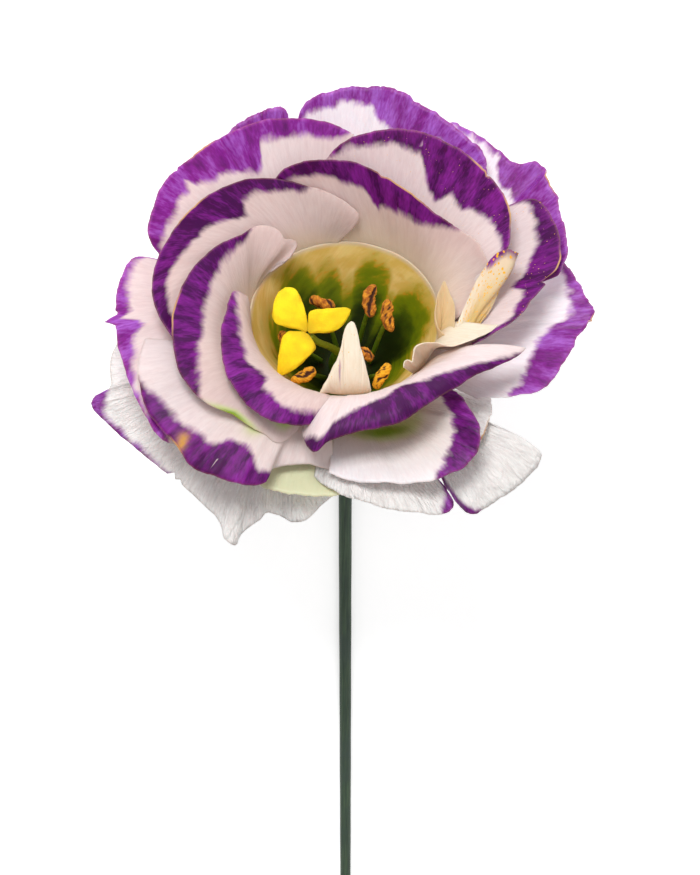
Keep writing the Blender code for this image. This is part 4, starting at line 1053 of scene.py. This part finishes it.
# ---- petaloids -------------------------------------------------------------------------
# Four narrow half-grown petals stand between the petals and the stamens, as in any double
# flower.  They are cream all over, with a trace of violet, and dusted with pollen.
PETALOID_RISE = 88
PETALOID_THICK = 0.22
PETALOIDS = {
    "petaloid_1": dict(
        claw=[(261, 14.2, 15.4), (285, 14.3, 15.4)], flare=(170, 150), wash=0.5, ruffle=0.1,
        edge=[(256.5, 15.2, 16.6), (258.2, 14.5, 18), (261.6, 12.8, 19.2), (265.4, 11.0, 20.3),
              (267.8, 9, 21), (270, 7.2, 21.6), (275.5, 6.3, 22), (281.3, 6.4, 22),
              (283.4, 7.3, 21.6), (283.0, 9, 20.8), (283.6, 10.9, 19.8), (284.4, 12.8, 18.6),
              (284.6, 14.6, 16.8)],
        folds=[(0.36, 0.05, 0.4, 0.0)], violet_streak=(0.3, 0.5), dust=0.5, cream_and_shade=(0.3, 0.3)),
    "petaloid_2": dict(
        claw=[(316, 13.8, 13.9), (354, 13.9, 13.9)], flare=(60, 40), wash=0.5, ruffle=0.1, rise=74,
        edge=[(302, 15.7, 20.8), (304.2, 15.1, 21), (306.4, 15.2, 21), (307.5, 15.6, 20.8),
              (310.8, 14.9, 21), (314.7, 14.2, 21.1), (319.7, 14.5, 21.1), (324.9, 15.9, 21),
              (327.3, 18, 20.8), (335.2, 19.8, 20.5), (341.9, 21.6, 20), (347.2, 22.6, 19.5)],
        cream_and_shade=(0.2, 0.8)),
    # Deep tan all over: painted shade of this petaloid, which stands in shadow in the throat.
    "petaloid_3": dict(
        claw=[(-17, 14.0, 14.3), (-11, 14.0, 14.3)], flare=(80, 80), rise=84, wash=0.5, ruffle=0.05,
        edge=[(-18.5, 15.4, 16.4), (-15.2, 13.9, 17), (-8.8, 13.2, 18), (0.8, 13.3, 19), (4.5, 13.7, 19.6),
              (9, 14.5, 20.2), (4.5, 15.0, 19.5), (-2.9, 15.8, 18.3), (-10.9, 16.1, 17.2),
              (-15, 16.2, 16.6)],
        cream_and_shade=(9, 9), tint_strength=0.85, dust=0.3),
    # Its cream runs to a deep tan across its far side, partly its own tan and partly painted shade of that
    # side.
    "petaloid_4": dict(
        claw=[(-18.6, 16.9, 16), (-13.2, 19.4, 16.5)], flare=(70, 70), wash=0.3, ruffle=0.1,
        edge=[(-13, 16.4, 17), (-6.2, 16.9, 18), (1.3, 18, 19.5), (6.8, 19.3, 21), (10.5, 20.9, 22.5),
              (12, 22.1, 23.5), (12.6, 23.7, 24), (11.2, 24.8, 24), (7.6, 23.3, 22), (1.1, 22, 20),
              (-5.7, 20.6, 18.3)],
        folds=[(0.62, 0.12, 0.6, 0.0)], cream_and_shade=(0.3, 4.0), tint_strength=1.0,
        band=[(0, -2), (0.36, -2), (0.42, 0.8), (0.48, 1.6), (0.56, 1.0), (0.64, 0.8), (0.7, -2),
              (1, -2)], dust=1.3),
}
petaloid_skin = petal_skin("petaloid_skin", srgb(234, 219, 200), srgb(218, 194, 164), threads=2.4,
                           crepe=0.5, crinkle=0.8, height=0.08, fringe=0.5, Roughness=0.55,
                           Specular_IOR_Level=0.15, Subsurface_Weight=0.35)
for k, (node, petal) in enumerate(PETALOIDS.items()):
    make_petal(node, petal, PETALOID_RISE, petaloid_skin, "petaloids", 400 + 5 * k,
               across=60, along=40, thickness=PETALOID_THICK)

# ---- floor, light and camera -----------------------------------------------------------
# The flower lies on a plain white table under broad soft lamps, and the camera looks down
# into the bloom from a little in front of it.
FLOOR_SIZE, FLOOR_GLOW = 4.0, 0.42           # metres; the table gives off a little light
ROOM_LIGHT = 0.4
CAMERA_RIGHT, CAMERA_UP = Vector((1, 0, 0)), Vector((0, 0.956, -0.2923))
CAMERA_BACK = Vector((0, 0.2923, 0.956))
CAMERA_AIM = BLOOM_AT + 0.75 * CAMERA_RIGHT - 9.675 * CAMERA_UP
CAMERA_AWAY, CAMERA_LENS, CAMERA_FILM = 400.0, 109.7, 36.0

mesh = bpy.data.meshes.new("table_top")
half = FLOOR_SIZE / 2
corners = [(-half, -half, 0), (half, -half, 0), (half, half, 0), (-half, half, 0)]
mesh.from_pydata(corners, [], [(0, 1, 2, 3)])
floor = bpy.data.objects.new("table_top", mesh)
bpy.context.scene.collection.objects.link(floor)
table_paint, tree, shader = new_material("table_paint", Roughness=0.7)
eggshell = put(tree, "TexNoise", {"Vector": put(tree, "TexCoord").outputs["Object"], "Scale": 900.0,
                                  "Detail": 2.0})
tree.links.new(blend_of(tree, eggshell.outputs[0], srgb(250, 250, 250), srgb(254, 254, 254)),
               shader.inputs["Base Color"])
shader.inputs["Emission Color"].default_value = (1.0, 1.0, 1.0, 1.0)
shader.inputs["Emission Strength"].default_value = FLOOR_GLOW
mesh.materials.append(table_paint)
floor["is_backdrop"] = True

world = bpy.data.worlds.new("studio")
bpy.context.scene.world = world
world.use_nodes = True
world.node_tree.nodes["Background"].inputs["Color"].default_value = (1.0, 1.0, 1.0, 1.0)
world.node_tree.nodes["Background"].inputs["Strength"].default_value = ROOM_LIGHT


def softbox(name, at, aim, size, watts):
    data = bpy.data.lights.new(name, "AREA")
    data.shape = "SQUARE"
    data.size = size
    data.energy = watts
    lamp = bpy.data.objects.new(name, data)
    lamp.location = at
    lamp.rotation_euler = (Vector(aim) - Vector(at)).to_track_quat("-Z", "Y").to_euler()
    bpy.context.scene.collection.objects.link(lamp)


bloom_middle = (BLOOM_AT + 18 * AXIS) * MM
softbox("key_softbox", (-0.15, 0.75, 0.6), bloom_middle, 0.4, 6.6)
softbox("fill_softbox", (0.25, 0.1, 1.0), bloom_middle, 0.8, 2.4)

camera_data = bpy.data.cameras.new("camera")
camera_data.lens = CAMERA_LENS
camera_data.sensor_width = CAMERA_FILM
camera_data.clip_start = 0.01
camera = bpy.data.objects.new("camera", camera_data)
camera.location = (CAMERA_AIM + CAMERA_AWAY * CAMERA_BACK) * MM
camera.rotation_euler = Matrix((CAMERA_RIGHT, CAMERA_UP, CAMERA_BACK)).transposed().to_euler()
bpy.context.scene.collection.objects.link(camera)
bpy.context.scene.camera = camera
bpy.context.scene.view_settings.view_transform = "Standard"

low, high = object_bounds()
